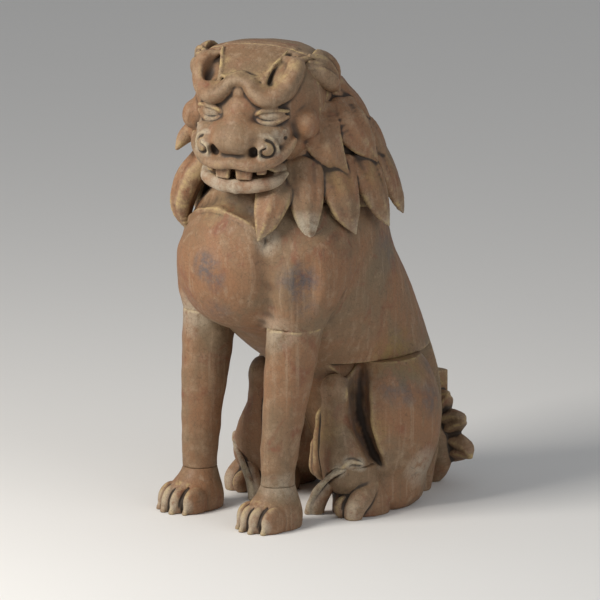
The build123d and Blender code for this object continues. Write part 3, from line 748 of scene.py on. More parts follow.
def carve_toes(clay, side):
    """Round toes with claws at the front of a forepaw, and the slits between them."""
    tall, reach = TOE_HEIGHT, TOE_REACH
    for x, y, half in TOES:
        clay.add(Ball((x, y + reach * 0.2, tall * 0.4), (half, reach, tall * 0.6), side=side), blend=0.8)
        claw = ((x, y - reach * 0.62, tall * 0.3, half * 0.3), (x, y - reach * 0.76, 1, half * 0.4))
        clay.add(Stroke(claw, side, count=3), blend=1)
    for (x, y, _), (next_x, next_y, _) in zip(TOES, TOES[1:]):
        gap_x = (x + next_x) / 2
        gap_y = (y + next_y) / 2
        slit = [(gap_x, gap_y + reach * back, tall * up, half) for back, up, half in TOE_SLIT]
        clay.cut(Stroke(slit, side), blend=0.8)


def carve_forepaws(look):
    """Paws with four round toes, pale at their tips."""
    tips = [(x, y - 9, 7) for x, y, _ in TOES]
    for node, side in pair("forepaw"):
        clay = Clay((16, -114, -4), (70, -50, 36), look.limb_step, side)
        clay.add(Loft(FOREPAW, side=side))
        carve_toes(clay, side)
        clay.tool_marks(look.tool_marks * HAIR_MARKS)
        clay.hold_relief()
        z = clay.places()[2]
        clay.keep(np.maximum(-z, z - WRIST_HEIGHT))
        finish_piece(clay.mesh("carved_" + node), node, dabs(PALE, flip(tips, side), reach=8, strength=0.7))


HINDPAW = (
    (-3, 46.5, -1, 20, 20.5),
    (12, 46.5, -1, 20, 20.5),
    (24, 46, -6.5, 18.6, 19),
    (ANKLE_HEIGHT, 46, -11, 18, 19),
    (ANKLE_HEIGHT + 6, 46, -11, 18, 19),
)
HIND_RIDGE = (
    (64, -16.5, 39.5, 1),
    (59, -23.8, 41, 1.8),
    (53.3, -27.9, 34.5, 2),
    (46.5, -30.8, 29.4, 2.1),
    (36.6, -34.1, 18.8, 2.2),
    (30.5, -34.7, 8.4, 2.4),
    (29, -35.1, 1.5, 2.8),
)
THIGH = ((45, 28, 62), (30.3, 40.5, 56.5))
THIGH_FOOT = ((50, 24, 14), (17, 30, 18))
THIGH_FRONT = ((41, 2, 84), (12, 24, 14))
KNEE = ((37, -17.5, 88), (8.8, 9.8, 11))

# Flat strokes with half depth after half width, the ways they face, how far the fold's floor, where
# its painted shade lies, is inward and back of its middle, and the gap left round the ridge
AHEAD = (0, -1, 0)
SHIN = (
    (37, -17.5, 90, 8.5, 9.3),
    (38, -16.8, 67, 10.4, 11),
    (41, -15.7, 51, 14.3, 14.6),
    (44, -14.5, 40, 17, 17.5),
    (45.5, -12.5, 31, 17.8, 18.5),
)
UPPER_TUFT = ((26.5, -14, 66, 5, 11), (25, -13.5, 50, 6, 12), (23.5, -12, 32, 7, 13))
LOWER_TUFT = ((18.5, -13, 44, 4, 10), (17.5, -12, 32, 5, 11))
FOLD_WAY = (0.731, -0.682, 0)
FOLD_FLOOR = (8, 7.5)
RIDGE_SEAT = 1
FOLD = (
    (52.8, -9.3, 114, 7.5, 17),
    (52.8, -9.3, 92, 7.5, 17),
    (54.5, -9, 68, 6.8, 16),
    (59, -5.7, 51, 5.4, 14),
    (62.8, -2.5, 41, 3.6, 9),
    (66, 1.5, 33, 1.4, 3),
)


def carve_haunches(look):
    """Thigh and shin with a deep fold between them, and stepped tufts inside the shin."""
    inward, back = FOLD_FLOOR
    fold_floor_shade = [(x - inward, y + back, z) for x, y, z, *_ in along(FOLD[1:5], 2)]
    for node, side in pair("haunch"):
        clay = Clay((8, -42, -4), (82, 78, 113), look.limb_step, side)
        clay.add(Ball(*THIGH, side=side))
        clay.add(Ball(*THIGH_FOOT, side=side), blend=6)
        clay.add(Ball(*THIGH_FRONT, side=side), blend=4)
        clay.add(Ball(*KNEE, side=side), blend=3)
        clay.add(Stroke(SHIN, side, AHEAD), blend=2)
        clay.add(Stroke(UPPER_TUFT, side, AHEAD), blend=0.8)
        clay.add(Stroke(LOWER_TUFT, side, AHEAD), blend=0.8)
        clay.cut(Stroke(FOLD, side, FOLD_WAY), blend=3)
        clay.add(Stroke(HIND_RIDGE, side), blend=1.2)
        clay.tool_marks(look.tool_marks)
        x, y, z = clay.places()
        inside = np.maximum(Loft(TORSO, OVERLAP).distance(x, y, z), np.abs(x) - HAUNCH_JOINT)
        clay.keep(-inside)
        clay.keep(np.maximum(-z, z - HAUNCH_TOP))
        clay.hold_relief()
        paw = Loft(HINDPAW, OVERLAP, side).distance(x, y, z)
        clay.keep(-np.maximum(paw, z - ANKLE_HEIGHT))
        ridge = Stroke(HIND_RIDGE, side).distance(x, y, z) - RIDGE_SEAT
        clay.keep(-np.maximum(ridge, z - ANKLE_HEIGHT))
        # Painted shade: dark blue-grey dabs on the fold's floor, where the shin shades it
        traces = dabs(BLUE, flip(fold_floor_shade, side), reach=15, strength=0.6)
        traces += dabs(PALE, flip(HIND_RIDGE[:3], side), reach=6, strength=0.8)
        finish_piece(clay.mesh("carved_" + node), node, traces)


PAW_HOLLOW = ((45, -34, 17), (10, 11, 14))
OUTER_TOE = ((60.5, -5, 21.5, 6), (61.5, -14, 14.5, 7.8), (62, -20.5, 8.5, 7.4), (61.5, -22, 3, 6.6))
OUTER_TOE_TIP = (63, -26, 7)
MIDDLE_TOE = ((52, -22, 7), (5.4, 9, 8.5))
HIND_SLIT = ((56, -31, 0, 1), (56, -29, 7, 1), (55, -23, 15, 0.8), (54, -14, 21, 0.5))
INNER_TOE = ((45, -23, 28, 4), (38, -27, 18, 5), (33, -29, 8, 5.5), (31, -29, 2, 5.5))


def carve_hindpaws(look):
    """Broad paws with a ridge down to the inner toe, a hollow beside it and a long outer toe."""
    for node, side in pair("hindpaw"):
        clay = Clay((18, -48, -4), (76, 26, 42), look.limb_step, side)
        clay.add(Loft(HINDPAW, side=side))
        clay.cut(Ball(*PAW_HOLLOW, side=side), blend=3)
        clay.add(Stroke(OUTER_TOE, side), blend=1.5)
        clay.add(Ball(*MIDDLE_TOE, side=side), blend=1)
        clay.cut(Stroke(HIND_SLIT, side), blend=1)
        clay.add(Stroke(INNER_TOE, side), blend=3)
        clay.add(Stroke(HIND_RIDGE, side), blend=1.2)
        clay.tool_marks(look.tool_marks * HAIR_MARKS)
        clay.hold_relief()
        z = clay.places()[2]
        clay.keep(np.maximum(-z, z - ANKLE_HEIGHT))
        traces = dabs(PALE, flip(along(HIND_RIDGE, 2), side), reach=7, strength=0.9)
        traces += dabs(PALE, flip([OUTER_TOE_TIP], side), reach=9, strength=0.6)
        finish_piece(clay.mesh("carved_" + node), node, traces)


def head_place(look):
    """Where the head sits and how far it turns."""
    turn = Matrix.Rotation(look.head_turn, 4, "Z")
    return Matrix.Translation([MM * value for value in HEAD_PLACE]) @ turn


def in_world(look, rows):
    """Places of the head's own frame, in millimetres of the statue's frame."""
    place = head_place(look)
    return [tuple((place @ (Vector(row[:3]) * MM)) / MM) for row in rows]


def on_ball(centre, radii, ahead, rows):
    """Rows of turn, reach and half width laid on the side of a ball that faces ahead.

    The turn goes round from outward to up, the reach goes out from ahead, both in degrees.
    """
    ahead = np.array(ahead) / np.linalg.norm(ahead)
    across = np.cross((0, 0, 1), ahead)
    across /= np.linalg.norm(across)
    up = np.cross(ahead, across)
    laid = []
    for turn, reach, half in rows:
        turn, reach = math.radians(turn), math.radians(reach)
        way = across * math.cos(turn) + up * math.sin(turn)
        point = ahead * math.cos(reach) + way * math.sin(reach)
        laid.append((*(np.array(centre) + np.array(radii) * point), half))
    return laid


def head_top(x, y):
    """Height of the head's top, a shallow dome."""
    return HEAD_DOME - HEAD_BEND * (x**2 + (y - HEAD_DOME_Y) ** 2)


# The forehead's plate: where its lower edge lies, its slope, how deep and wide the bed cut for it is,
# its half width at the lower edge and how fast it widens, its length up the slope, its thickness, the
# bends of its face and lower edge, the lean of its sides, and how far it stands out in front and on top
PLATE_LOW = (-37, 28.5)
PLATE_SLOPE = (0.819, 0.574)
PLATE_BED = (5, 31)
PLATE_HALF = 15
PLATE_SPREAD = 0.28
PLATE_LENGTH = 60
PLATE_DEPTH = 9
PLATE_BEND = 0.003
PLATE_EDGE_BEND = 0.006
PLATE_LEAN = 0.96
PLATE_LIFT = 0.4
PLATE_CREST = 0.3
PLATE_RIM = (
    (17.5, -38, 20, 1.6),
    (17, -35.5, 28, 1.5),
    (19, -27, 35.5, 1.3),
    (22.5, -17, 41.5, 1),
    (24, -11, 44.5, 0.6),
)
PLATE_EDGE = ((-15.5, -36, 28.8, 0.9), (0, -37, 28.6, 1), (15.5, -36, 28.8, 0.9))


def carve_forehead(clay):
    """The sloping plate of the forehead, between the brows' hooks."""
    x, y, z = clay.places()
    back, rise = y - PLATE_LOW[0], z - PLATE_LOW[1]
    along_slope = back * PLATE_SLOPE[0] + rise * PLATE_SLOPE[1]
    above = rise * PLATE_SLOPE[0] - back * PLATE_SLOPE[1]
    clay.keep(-np.maximum(-PLATE_BED[0] - above, np.abs(x) - PLATE_BED[1]))
    slope = above + PLATE_BEND * x**2 - PLATE_LIFT
    top = -smooth_min(-slope, head_top(x, y) + PLATE_CREST - z, blend=7)
    sides = (np.abs(x) - PLATE_HALF - PLATE_SPREAD * along_slope) * PLATE_LEAN
    plate = -smooth_min(-np.maximum(sides, PLATE_EDGE_BEND * x**2 - along_slope), -top, blend=1.4)
    clay.join(np.maximum(plate, np.maximum(-PLATE_DEPTH - above, along_slope - PLATE_LENGTH)), blend=3.5)
    for side in (1, -1):
        clay.add(Stroke(PLATE_RIM, side), blend=2.5)
    clay.add(Stroke(PLATE_EDGE), blend=2)


BRIDGE = ((0, -34, 12, 7), (0, -40, 2, 9.5), (0, -45, -8, 12.5))
BRIDGE_CREASE = ((-7, -40, 11.2, 0.5), (0, -42.6, 12, 0.9), (7, -40, 11.2, 0.5))
NOSE = ((0, -47.5, -12.5), (18, 14, 12))
UPPER_LIP = ((0, -44, -25), (26, 10.5, 6))
BROW_KNOT = ((0, -39.5, 19), (6.2, 5.6, 7))
NOSTRIL = ((14.5, -55, -20.5), (3.8, 7, 4.6), (0, 20, 0))
LIP_CLEFT = ((0, -59, -22, 0.6), (0, -58.5, -26, 1), (0, -57.5, -31, 1.1), (0, -55, -35, 1))
WING = ((20, -45.3, -17), (10, 9.5, 9.5))
WING_FACES = (0.5, -0.86, -0.1)
WING_CURL = (
    (118, 78, 0.7),
    (85, 64, 1),
    (45, 60, 1.1),
    (0, 58, 1.2),
    (-45, 58, 1.2),
    (-90, 54, 1.2),
    (-135, 46, 1.1),
    (-180, 34, 1),
    (-235, 20, 0.9),
)


def carve_nose(clay):
    """A broad nose whose wings curl round to the nostrils."""
    clay.add(Stroke(BRIDGE), blend=5)
    clay.add(Ball(*NOSE), blend=2.5)
    clay.add(Ball(*UPPER_LIP), blend=3)
    clay.add(Ball(*BROW_KNOT), blend=1)
    clay.cut(Stroke(BRIDGE_CREASE), blend=1.5)
    curl = on_ball(*WING, WING_FACES, WING_CURL)
    inner = [(turn, reach * 0.74, half * 1.5) for turn, reach, half in WING_CURL[1:]]
    groove = on_ball(*WING, WING_FACES, inner)
    for side in (1, -1):
        clay.add(Ball(*WING, side=side), blend=2)
        clay.cut(Stroke(groove, side), blend=1.2)
        clay.add(Stroke(curl, side), blend=0.8)
        clay.cut(Ball(*NOSTRIL, side=side), blend=1.5)
    clay.cut(Stroke(LIP_CLEFT), blend=1.2)


EYE_SOCKET = ((22, -46, 3.5), (13, 7, 5), (0, 0, 24))
EYE = ((22, -37, 3.6), (10.5, 5.2, 4.6), (0, 0, 24))
UPPER_LID = ((11.5, -42, 3.5, 1.2), (17, -43, 7.2, 1.6), (25, -40, 8.2, 1.7), (33, -33, 6.8, 1.3))
UNDER_LID = ((11.5, -42, 2.5, 1.2), (18, -43.5, -0.6, 1.5), (26, -40, -0.8, 1.6), (33, -33, 2.8, 1.3))
UNDER_EYE = ((15, -47, -3, 0.7), (21, -46.5, -5, 1.4), (28, -42, -6, 1.5), (33, -36.5, -6, 0.6))
EYE_CORNER = ((34, -33, 5, 0.5), (38, -28, 6, 0.9), (42, -21, 10, 0.5))
BROW = (
    (0, -41.5, 28, 3.2),
    (6, -43, 26, 3.8),
    (11, -44, 20.5, 4.8),
    (17, -43.5, 16.5, 5.8),
    (24, -40, 16.5, 6.3),
    (30, -34.5, 20.5, 6.4),
    (33.5, -28.5, 27.5, 6),
    (34.5, -23, 34, 5.2),
    (31.5, -19, 38, 4),
    (26.5, -17, 40, 2.4),
)
LEFT_HOOK_FILL = ((25.5, -23.5, 30.1), (7, 13, 5.4), (35, 0, 0))
RIGHT_HOOK_HOLLOW = ((-26.5, -29.5, 32.5), (4.4, 5.5, 10.5), (-35, 0, 0))
LIP = (
    (0, -55, -28.5, 3),
    (11, -54, -29.8, 4),
    (22, -48.5, -28.5, 4.4),
    (30, -42, -24, 4.2),
    (35, -36, -18.5, 3.2),
    (37.5, -31, -14, 1.6),
)
CHEEK = ((43, -19, -4), (7.5, 9.5, 10))
CHEEK_PIT = ((33.5, -39, -11), (1.3, 2.5, 1.6))
CHEEK_FURROW = ((40, -29, -14, 0.6), (42, -29.5, -5, 1), (40, -31, 3, 0.6))
JOWL = ((44, -7, -17), (8, 9, 9))
WHISKER = ((46, -6, -18, 4), (50, 4, -22, 4), (52, 13, -28, 2))


def carve_side_of_face(clay, side):
    """Eye, brow, lip and cheek on one side."""
    clay.cut(Ball(*EYE_SOCKET, side=side), blend=2.5)
    clay.add(Ball(*EYE, side=side), blend=0.4)
    clay.add(Stroke(UPPER_LID, side), blend=0.8)
    clay.add(Stroke(UNDER_LID, side), blend=0.8)
    behind = [(x, y + 4, z + 1.5, half + 0.6) for x, y, z, half in BROW[:8]]
    clay.add(Stroke(behind, side), blend=3)
    clay.add(Stroke(BROW, side), blend=2.5)
    if side < 0:
        clay.cut(Ball(*RIGHT_HOOK_HOLLOW), blend=3.5)
    else:
        clay.add(Ball(*LEFT_HOOK_FILL), blend=3)
    clay.add(Stroke(LIP, side), blend=3.5)
    clay.add(Stroke(UNDER_EYE, side), blend=1.2)
    clay.add(Ball(*CHEEK, side=side), blend=6)
    clay.cut(Ball(*CHEEK_PIT, side=side), blend=1.2)
    clay.cut(Stroke(CHEEK_FURROW, side), blend=2)
    clay.add(Ball(*JOWL, side=side), blend=4)
    clay.add(Stroke(WHISKER, side), blend=2)
    for shift in (-3, 2):
        hair = (
            (33, -17 + shift, 38 - shift * 0.4, 1),
            (38, -9 + shift, 39 - shift * 0.5, 1.8),
            (43, 2 + shift, 35 - shift, 1),
        )
        clay.add(Stroke(hair, side), blend=2.5)
    clay.cut(Stroke(EYE_CORNER, side), blend=1.5)


MUZZLE = ((0, -32, -12), (35, 24, 18))
CHIN = ((0, -22, -38), (30, 29, 13))
MOUTH = ((0, -46, -37.2), (27, 18, 4.2))
TONGUE = ((0, -34, -44), (13, 12, 3))
JAW_BAND_WAY = (0.4, -0.92, 0)
JAW_BAND = (
    (30.5, -30, -38.5, 1.8, 1.8),
    (26, -39.5, -42.5, 4.2, 3.2),
    (13, -46.5, -45.6, 4.8, 3.5),
    (0, -48.5, -46.2, 4.8, 3.5),
)

# Upper teeth: place across the mouth, half width and lower end. Then what they share: where the half width
# is measured, how fast they taper from there, their roots, and the row's place, bend and half depth
TEETH = ((-9.5, 6.3, -40.5), (6.5, 6, -40.5), (-20.5, 3.2, -37), (18, 3.2, -37))
TEETH_MIDDLE = -32
TEETH_TAPER = 0.13
TEETH_ROOT = -29
TEETH_ROW = -50.5
TEETH_BEND = 0.016
TEETH_DEPTH = 2.4

# Traces of paint on the head: colour, places, reach, and strength on the left and on the right
HEAD_TRACES = (
    (CREAM, ((0, -37, 29), (10, -36, 29)), 8, 0.9, 0.9),
    (CREAM, ((17.5, -37, 23), (17.5, -33, 31), (20, -24, 38)), 7, 0.8, 0.8),
    (CREAM, ((24, -37, 23), (30, -31, 29), (34, -24, 36)), 7, 0.8, 0),
    # Painted shade: the jaw band's pale is weaker on the left, the half that falls into shadow
    (PALE, JAW_BAND, 9, 0.5, 0.9),
    (PALE, along(on_ball(*WING, WING_FACES, WING_CURL), 3), 3, 0.7, 0.7),
    (PALE, ((22, -42, 3), (30, -43, -9), (34, -38, -5)), 7, 0.6, 0.6),
)


def carve_head(look):
    """Face, lower jaw and crown, cut from one head."""
    clay = Clay((-60, -68, -58), (60, 54, 56), look.head_step)
    x, y, z = clay.places()
    clay.add(Loft(SKULL))
    clay.keep(z - head_top(x, y), blend=9)
    carve_forehead(clay)
    clay.add(Ball(*MUZZLE), blend=4)
    clay.add(Ball(*CHIN), blend=3)
    carve_nose(clay)
    for side in (1, -1):
        carve_side_of_face(clay, side)
    clay.cut(Ball(*MOUTH), blend=1)
    clay.add(Ball(*TONGUE), blend=1)
    for side in (1, -1):
        clay.add(Stroke(JAW_BAND, side, JAW_BAND_WAY), blend=1.5)
    clay.tool_marks(look.tool_marks * FACE_MARKS)
    clay.keep(np.maximum(HEAD_LOW - z, z - HEAD_HIGH))
    jaw = clay.copy()
    jaw.keep(np.maximum(z - MOUTH_JOINT, y - FACE_JOINT))
    crown = clay.copy()
    crown.keep(FACE_JOINT - y)
    clay.keep(np.maximum(MOUTH_JOINT - z, y - FACE_JOINT))
    thickness = TEETH_DEPTH - np.abs(y - TEETH_ROW - TEETH_BEND * x**2)
    for tooth_x, half, low in TEETH:
        sides = np.abs(x - tooth_x) - half - TEETH_TAPER * (z - TEETH_MIDDLE)
        tooth = -smooth_min(-np.maximum(sides, low - z), thickness, blend=1.5)
        clay.join(np.maximum(tooth, z - TEETH_ROOT), blend=0.5)
    traces = []
    for kind, rows, reach, left, right in HEAD_TRACES:
        for side, strength in ((1, left), (-1, right)):
            traces += dabs(kind, in_world(look, flip(rows, side)), reach, strength)
    for node, part in (("face", clay), ("lower_jaw", jaw), ("crown", crown)):
        finish_piece(part.mesh("carved_" + node, head_place(look)), node, traces)


EAR_WAY = (0.75, -0.2, 0.62)
EAR_LEAF = ((36, -8, 34, 6, 6), (41.5, 2, 33, 12.5, 9), (45.5, 13, 25, 13, 9), (47, 24, 12, 3, 3))
EAR_HOLLOW = ((44, -8, 38, 2.5), (51, 1, 36, 5), (55, 13, 27, 5), (53, 22, 16, 2.5))


def carve_ears(look):
    """Ears laid back at the upper corners of the head, with strands inside."""
    for node, side in pair("ear"):
        clay = Clay((22, -26, 0), (62, 34, 56), look.head_step, side)
        clay.add(Stroke(EAR_LEAF, side, EAR_WAY))
        clay.cut(Stroke(EAR_HOLLOW, side), blend=2)
        for shift in (-4, 0, 4):
            strand = (
                (40, -11 + shift * 0.3, 38 + shift, 1.6),
                (47, -1 + shift * 0.3, 34 + shift, 2.2),
                (51, 10, 24 + shift, 2),
                (50, 20, 15 + shift * 0.6, 1),
            )
            clay.add(Stroke(strand, side), blend=0.8)
        clay.tool_marks(look.tool_marks * FACE_MARKS)
        clay.cut(Loft(SKULL, OVERLAP))
        finish_piece(clay.mesh("carved_" + node, head_place(look)), node)


def on_collar(angle, reach, height):
    """The point of the collar at an angle from straight ahead, positive to the lion's left."""
    turn = math.radians(angle)
    return (reach[0] * math.sin(turn), MANE_Y - reach[1] * math.cos(turn), height)


# A lock from root to tip: shares of its half width, and half depths
LOCK_WIDTHS = (1.25, 1.1, 0.74, 0.06)
LOCK_DEPTHS = (5.5, 5.5, 4.4, 0.8)
LAST_STEP = 3


def mane_lock(clay, lock, reaches, side=1, thick=1.0):
    """A lock of hair, broad at its root, with its tip swept to one side by the steps' squares."""
    angle, half, sweep, heights = lock
    angle, sweep = side * angle, side * sweep
    out = np.array(on_collar(angle, (1, 1), 0)) - np.array([0, MANE_Y, 0])
    rows = []
    for step, (height, reach) in enumerate(zip(heights, reaches)):
        point = on_collar(angle + sweep * step * step / LAST_STEP**2, reach, height)
        rows.append((*point, half * LOCK_WIDTHS[step], thick * LOCK_DEPTHS[step]))
    clay.add(Stroke(rows, out=out, strands=2, carving=-0.09), blend=0.6)


# Locks of each side: angle, half width, sweep of the tip and heights from root to tip
UPPER = (
    (62, 13, 22, (292, 277, 262, 246)),
    (90, 13, 22, (292, 280, 267, 252)),
    (118, 13, 22, (284, 269, 254, 238)),
    (146, 13, 18, (270, 255, 240, 226)),
)
LOWER = (
    (55, 11.5, 4, (256, 238, 220, 203)),
    (77, 12.5, 8, (256, 238, 221, 206)),
    (101, 12.5, 10, (256, 239, 222, 206)),
    (126, 12.5, 10, (256, 239, 223, 208)),
    (152, 12.5, 8, (254, 237, 220, 204)),
)
CREST = (
    (128, 12, 12, (302, 289, 276, 261)),
    (155, 12.5, 8, (306, 292, 278, 262)),
)
LEFT_FRONT = ((38, 10.5, -4, (244, 232, 219, 206)),)
RIGHT_FRONT = ((38, 11, 0, (250, 235, 217, 200)),)

# How far the locks reach out from the collar's middle along X and Y, from root to tip
UPPER_REACH = ((40, 36), (52, 50), (58, 59), (61, 65))
LOWER_REACH = ((52, 60), (61, 68), (66, 75), (68, 80))
CREST_REACH = ((35, 20), (44, 33), (50, 44), (54, 53))
LEFT_FRONT_REACH = ((56, 64), (64, 76), (68, 83), (66, 86))
RIGHT_FRONT_REACH = ((60, 68), (70, 80), (74, 85), (67, 83))

# Rows of locks with their reach and thickness, one list for each side
LEFT_ROWS, RIGHT_ROWS = (
    ((LOWER, LOWER_REACH, 1), front, (UPPER, UPPER_REACH, 1), (CREST, CREST_REACH, 1))
    for front in ((LEFT_FRONT, LEFT_FRONT_REACH, 1.15), (RIGHT_FRONT, RIGHT_FRONT_REACH, 1.7))
)
BACK_LOCKS = (
    ((180, 12.5, 0, (254, 237, 220, 204)), LOWER_REACH),
    ((180, 13, 0, (276, 261, 246, 231)), UPPER_REACH),
    ((180, 12, 0, (308, 294, 280, 264)), CREST_REACH),
)
RIGHT_TUFT = ((-34, -66, 280, 7), (-38, -78, 274, 7), (-41, -88, 267, 5), (-41, -95, 260, 1.5))


def carve_mane(look):
    """A collar with two tiers of locks and a third behind the head, in three boards."""
    clay = Clay((-84, -114, 192), (84, 76, 320), look.hair_step)
    clay.add(Loft(COLLAR))
    x, y, z = clay.places()
    reach = np.hypot(x, y - MANE_Y)
    opening = np.arctan2(np.abs(x), MANE_Y - y) - math.radians(MANE_OPENING)
    clay.keep(-opening * reach)
    for side, tiers in ((1, LEFT_ROWS), (-1, RIGHT_ROWS)):
        for locks, reaches, thick in tiers:
            for lock in locks:
                mane_lock(clay, lock, reaches, side, thick)
    for lock, reaches in BACK_LOCKS:
        mane_lock(clay, lock, reaches)
    clay.add(Stroke(RIGHT_TUFT), blend=1.5)
    clay.tool_marks(look.tool_marks * HAIR_MARKS)
    clay.cut(Loft(TORSO, MANE_OVERLAP))
    clay.cut(Ball(*CHEST_SEAT))
    turn = look.head_turn
    head_x = (x - HEAD_PLACE[0]) * math.cos(turn) + (y - HEAD_PLACE[1]) * math.sin(turn)
    head_y = (y - HEAD_PLACE[1]) * math.cos(turn) - (x - HEAD_PLACE[0]) * math.sin(turn)
    clay.keep(-Loft(SKULL, MANE_OVERLAP).distance(head_x, head_y, z - HEAD_PLACE[2]))
    traces = dabs(PALE, [on_collar(56, (67, 78), 210)], reach=18, strength=0.9)
    for side in (1, -1):
        tips = [on_collar(side * angle, (68, 80), 208) for angle in (85, 110, 135, 160)]
        roots = [on_collar(side * angle, (62, 68), 246) for angle in (76, 104, 134, 164)]
        traces += dabs(PALE, tips, reach=11, strength=0.4) + dabs(MOSS, roots, reach=16, strength=0.5)
    whole = clay.mesh("carved_mane")
    apex = (0, MANE_Y * MM, 0)
    edge = math.radians(MANE_BOARD_ANGLE - 90)
    left_edge = (apex, (-math.sin(edge), math.cos(edge), 0))
    right_edge = (apex, (math.sin(edge), math.cos(edge), 0))
    left_front = (apex, (math.sin(edge), -math.cos(edge), 0))
    right_front = (apex, (-math.sin(edge), -math.cos(edge), 0))
    for node, planes in (
        ("back_mane", (left_edge, right_edge)),
        ("left_mane", ((apex, (1, 0, 0)), left_front)),
        ("right_mane", ((apex, (-1, 0, 0)), right_front)),
    ):
        finish_piece(one_side(whole, "carved_" + node, *planes), node, traces)
    bpy.data.meshes.remove(whole)


# The tail's fan: its body, the turns of its locks, and each lock's reach, place, half width, half depth
# and bend from root to tip. Then the squared stub with its hole
FAN = ((0, 98, 22), (32, 14, 29))
FAN_TURNS = (-78, -48, -20, 20, 48, 78)
FAN_LOCK = ((8, 98, 8, 7, 0), (24, 104.5, 12, 8, 0.04), (38, 105.5, 9, 7, 0.1), (48, 103, 2, 2, 0.2))
STUB = ((8, 104, 64), (7.3, 8.3, 14.6))
STUB_HOLE = ((-4, 104, 69, 2), (20, 104, 69, 2))


def carve_tail(look):
    """A low fan of curled locks and the squared stub of the lost plume."""
    clay = Clay((-64, 76, -4), (64, 120, 86), look.limb_step)
    clay.add(Ball(*FAN))
    for angle in FAN_TURNS:
        turn = math.radians(angle)
        rows = [
            (reach * math.sin(turn + bend), y, FAN[0][2] + reach * math.cos(turn + bend), half, depth)
            for reach, y, half, depth, bend in FAN_LOCK
        ]
        clay.add(Stroke(rows, out=(0, 1, 0), strands=2.5), blend=1)
    places = clay.places()
    aside, back, up = (np.abs(spot - middle) - half for spot, middle, half in zip(places, *STUB))
    clay.join(np.maximum(np.maximum(aside, back), up), blend=1)
    clay.cut(Stroke(STUB_HOLE, count=2))
    clay.tool_marks(look.tool_marks * HAIR_MARKS)
    clay.cut(Loft(TORSO, OVERLAP))
    clay.keep(-places[2])
    finish_piece(clay.mesh("carved_tail"), "tail")


def cell_size(name, description, default, least):
    """A property for a size of cells in millimetres."""
    return FloatProperty(name=name, description=description, default=default, min=least)


def angle_setting(name, description, degrees):
    """A property for an angle."""
    return FloatProperty(name=name, description=description, default=math.radians(degrees), subtype="ANGLE")


def colour_setting(name, description, default):
    """A property for a colour."""
    return FloatVectorProperty(
        name=name, description=description, default=default, subtype="COLOR", min=0, max=1
    )


class LionCarving(bpy.types.PropertyGroup):
    """How finely the statue is carved."""

    body_step: cell_size("Trunk step", "Size of the trunk's cells in millimetres", 1.3, 0.5)
    limb_step: cell_size("Limb step", "Size of the limbs' cells in millimetres", 0.9, 0.4)
    head_step: cell_size("Head step", "Size of the head's cells in millimetres", 0.75, 0.4)
    hair_step: cell_size("Hair step", "Size of the mane's cells in millimetres", 0.95, 0.4)
    tool_marks: FloatProperty(
        name="Tool marks", description="Depth of the knife's waves in millimetres", default=0.3, min=0
    )
    head_turn: angle_setting("Head turn", "Turn of the head to its left", 26)


class LionFinish(bpy.types.PropertyGroup):
    """Colours of the old paint, the wood and the iron."""

    paint: colour_setting("Paint", "Orange-brown paint", (0.25, 0.126, 0.062))
    earth: colour_setting("Earth", "Khaki ground under the paint", (0.185, 0.126, 0.072))
    red: colour_setting("Red", "Red patches", (0.19, 0.062, 0.032))
    worn: colour_setting("Worn", "Pale worn wood", (0.34, 0.24, 0.155))
    # The soot colour serves as painted shade in the hollows, and as real soot in the cracks and specks
    soot_and_shade: colour_setting("Soot", "Soot in the hollows", (0.022, 0.016, 0.012))
    chalk: colour_setting("Chalk", "White ground on claws and lips", (0.46, 0.41, 0.32))
    cream: colour_setting("Cream", "Cream edges", (0.44, 0.32, 0.15))
    # The blue-grey also serves as painted shade on the floor of the haunch folds
    blue: colour_setting("Blue", "Blue-grey blotches", (0.075, 0.08, 0.092))
    moss: colour_setting("Moss", "Yellow-green traces", (0.25, 0.17, 0.05))
    peg: colour_setting("Peg", "Bare wood of the pegs", (0.45, 0.29, 0.15))
    iron: colour_setting("Iron", "Dark iron of the staples", (0.07, 0.06, 0.06))


class LionStage(bpy.types.PropertyGroup):
    """Floor, light and camera."""

    floor: colour_setting("Floor", "Pale floor", (0.78, 0.77, 0.75))
    azimuth: angle_setting("Azimuth", "Camera's turn round the statue", 47)
    elevation: angle_setting("Elevation", "Camera's rise", 13)
    distance: FloatProperty(name="Distance", description="Camera's distance", default=12.0, unit="LENGTH")
    lens: FloatProperty(name="Lens", description="Focal length in millimetres", default=1028.6)
    aim: FloatVectorProperty(
        name="Aim",
        description="Point in the picture's middle",
        default=(0.0, -0.016, 0.146),
        subtype="XYZ",
        unit="LENGTH",
    )
    key: FloatProperty(name="Key light", description="Power of the main light, in watts", default=16.0, min=0)
    fill: FloatProperty(name="Fill light", description="Power of the second, in watts", default=4.0, min=0)
    sky: FloatProperty(name="Sky", description="Strength of the light all round", default=0.35, min=0)


class CarvingStep(bpy.types.Operator):
    """A step that carves some of the statue's pieces."""

    bl_options = {"REGISTER", "UNDO"}
    carve = None

    def execute(self, context):
        before = len(bpy.data.objects)
        type(self).carve(context.scene.lion_carving)
        if len(bpy.data.objects) == before:
            raise RuntimeError("no piece was carved")
        return {"FINISHED"}


class LION_OT_trunk(CarvingStep):
    """Carve the two halves of the trunk"""

    bl_idname = "lion.trunk"
    bl_label = "Carve Trunk"
    carve = carve_trunk


class LION_OT_forelegs(CarvingStep):
    """Carve the forelegs"""

    bl_idname = "lion.forelegs"
    bl_label = "Carve Forelegs"
    carve = carve_forelegs


class LION_OT_forepaws(CarvingStep):
    """Carve the forepaws"""

    bl_idname = "lion.forepaws"
    bl_label = "Carve Forepaws"
    carve = carve_forepaws


class LION_OT_haunches(CarvingStep):
    """Carve the haunches"""

    bl_idname = "lion.haunches"
    bl_label = "Carve Haunches"
    carve = carve_haunches


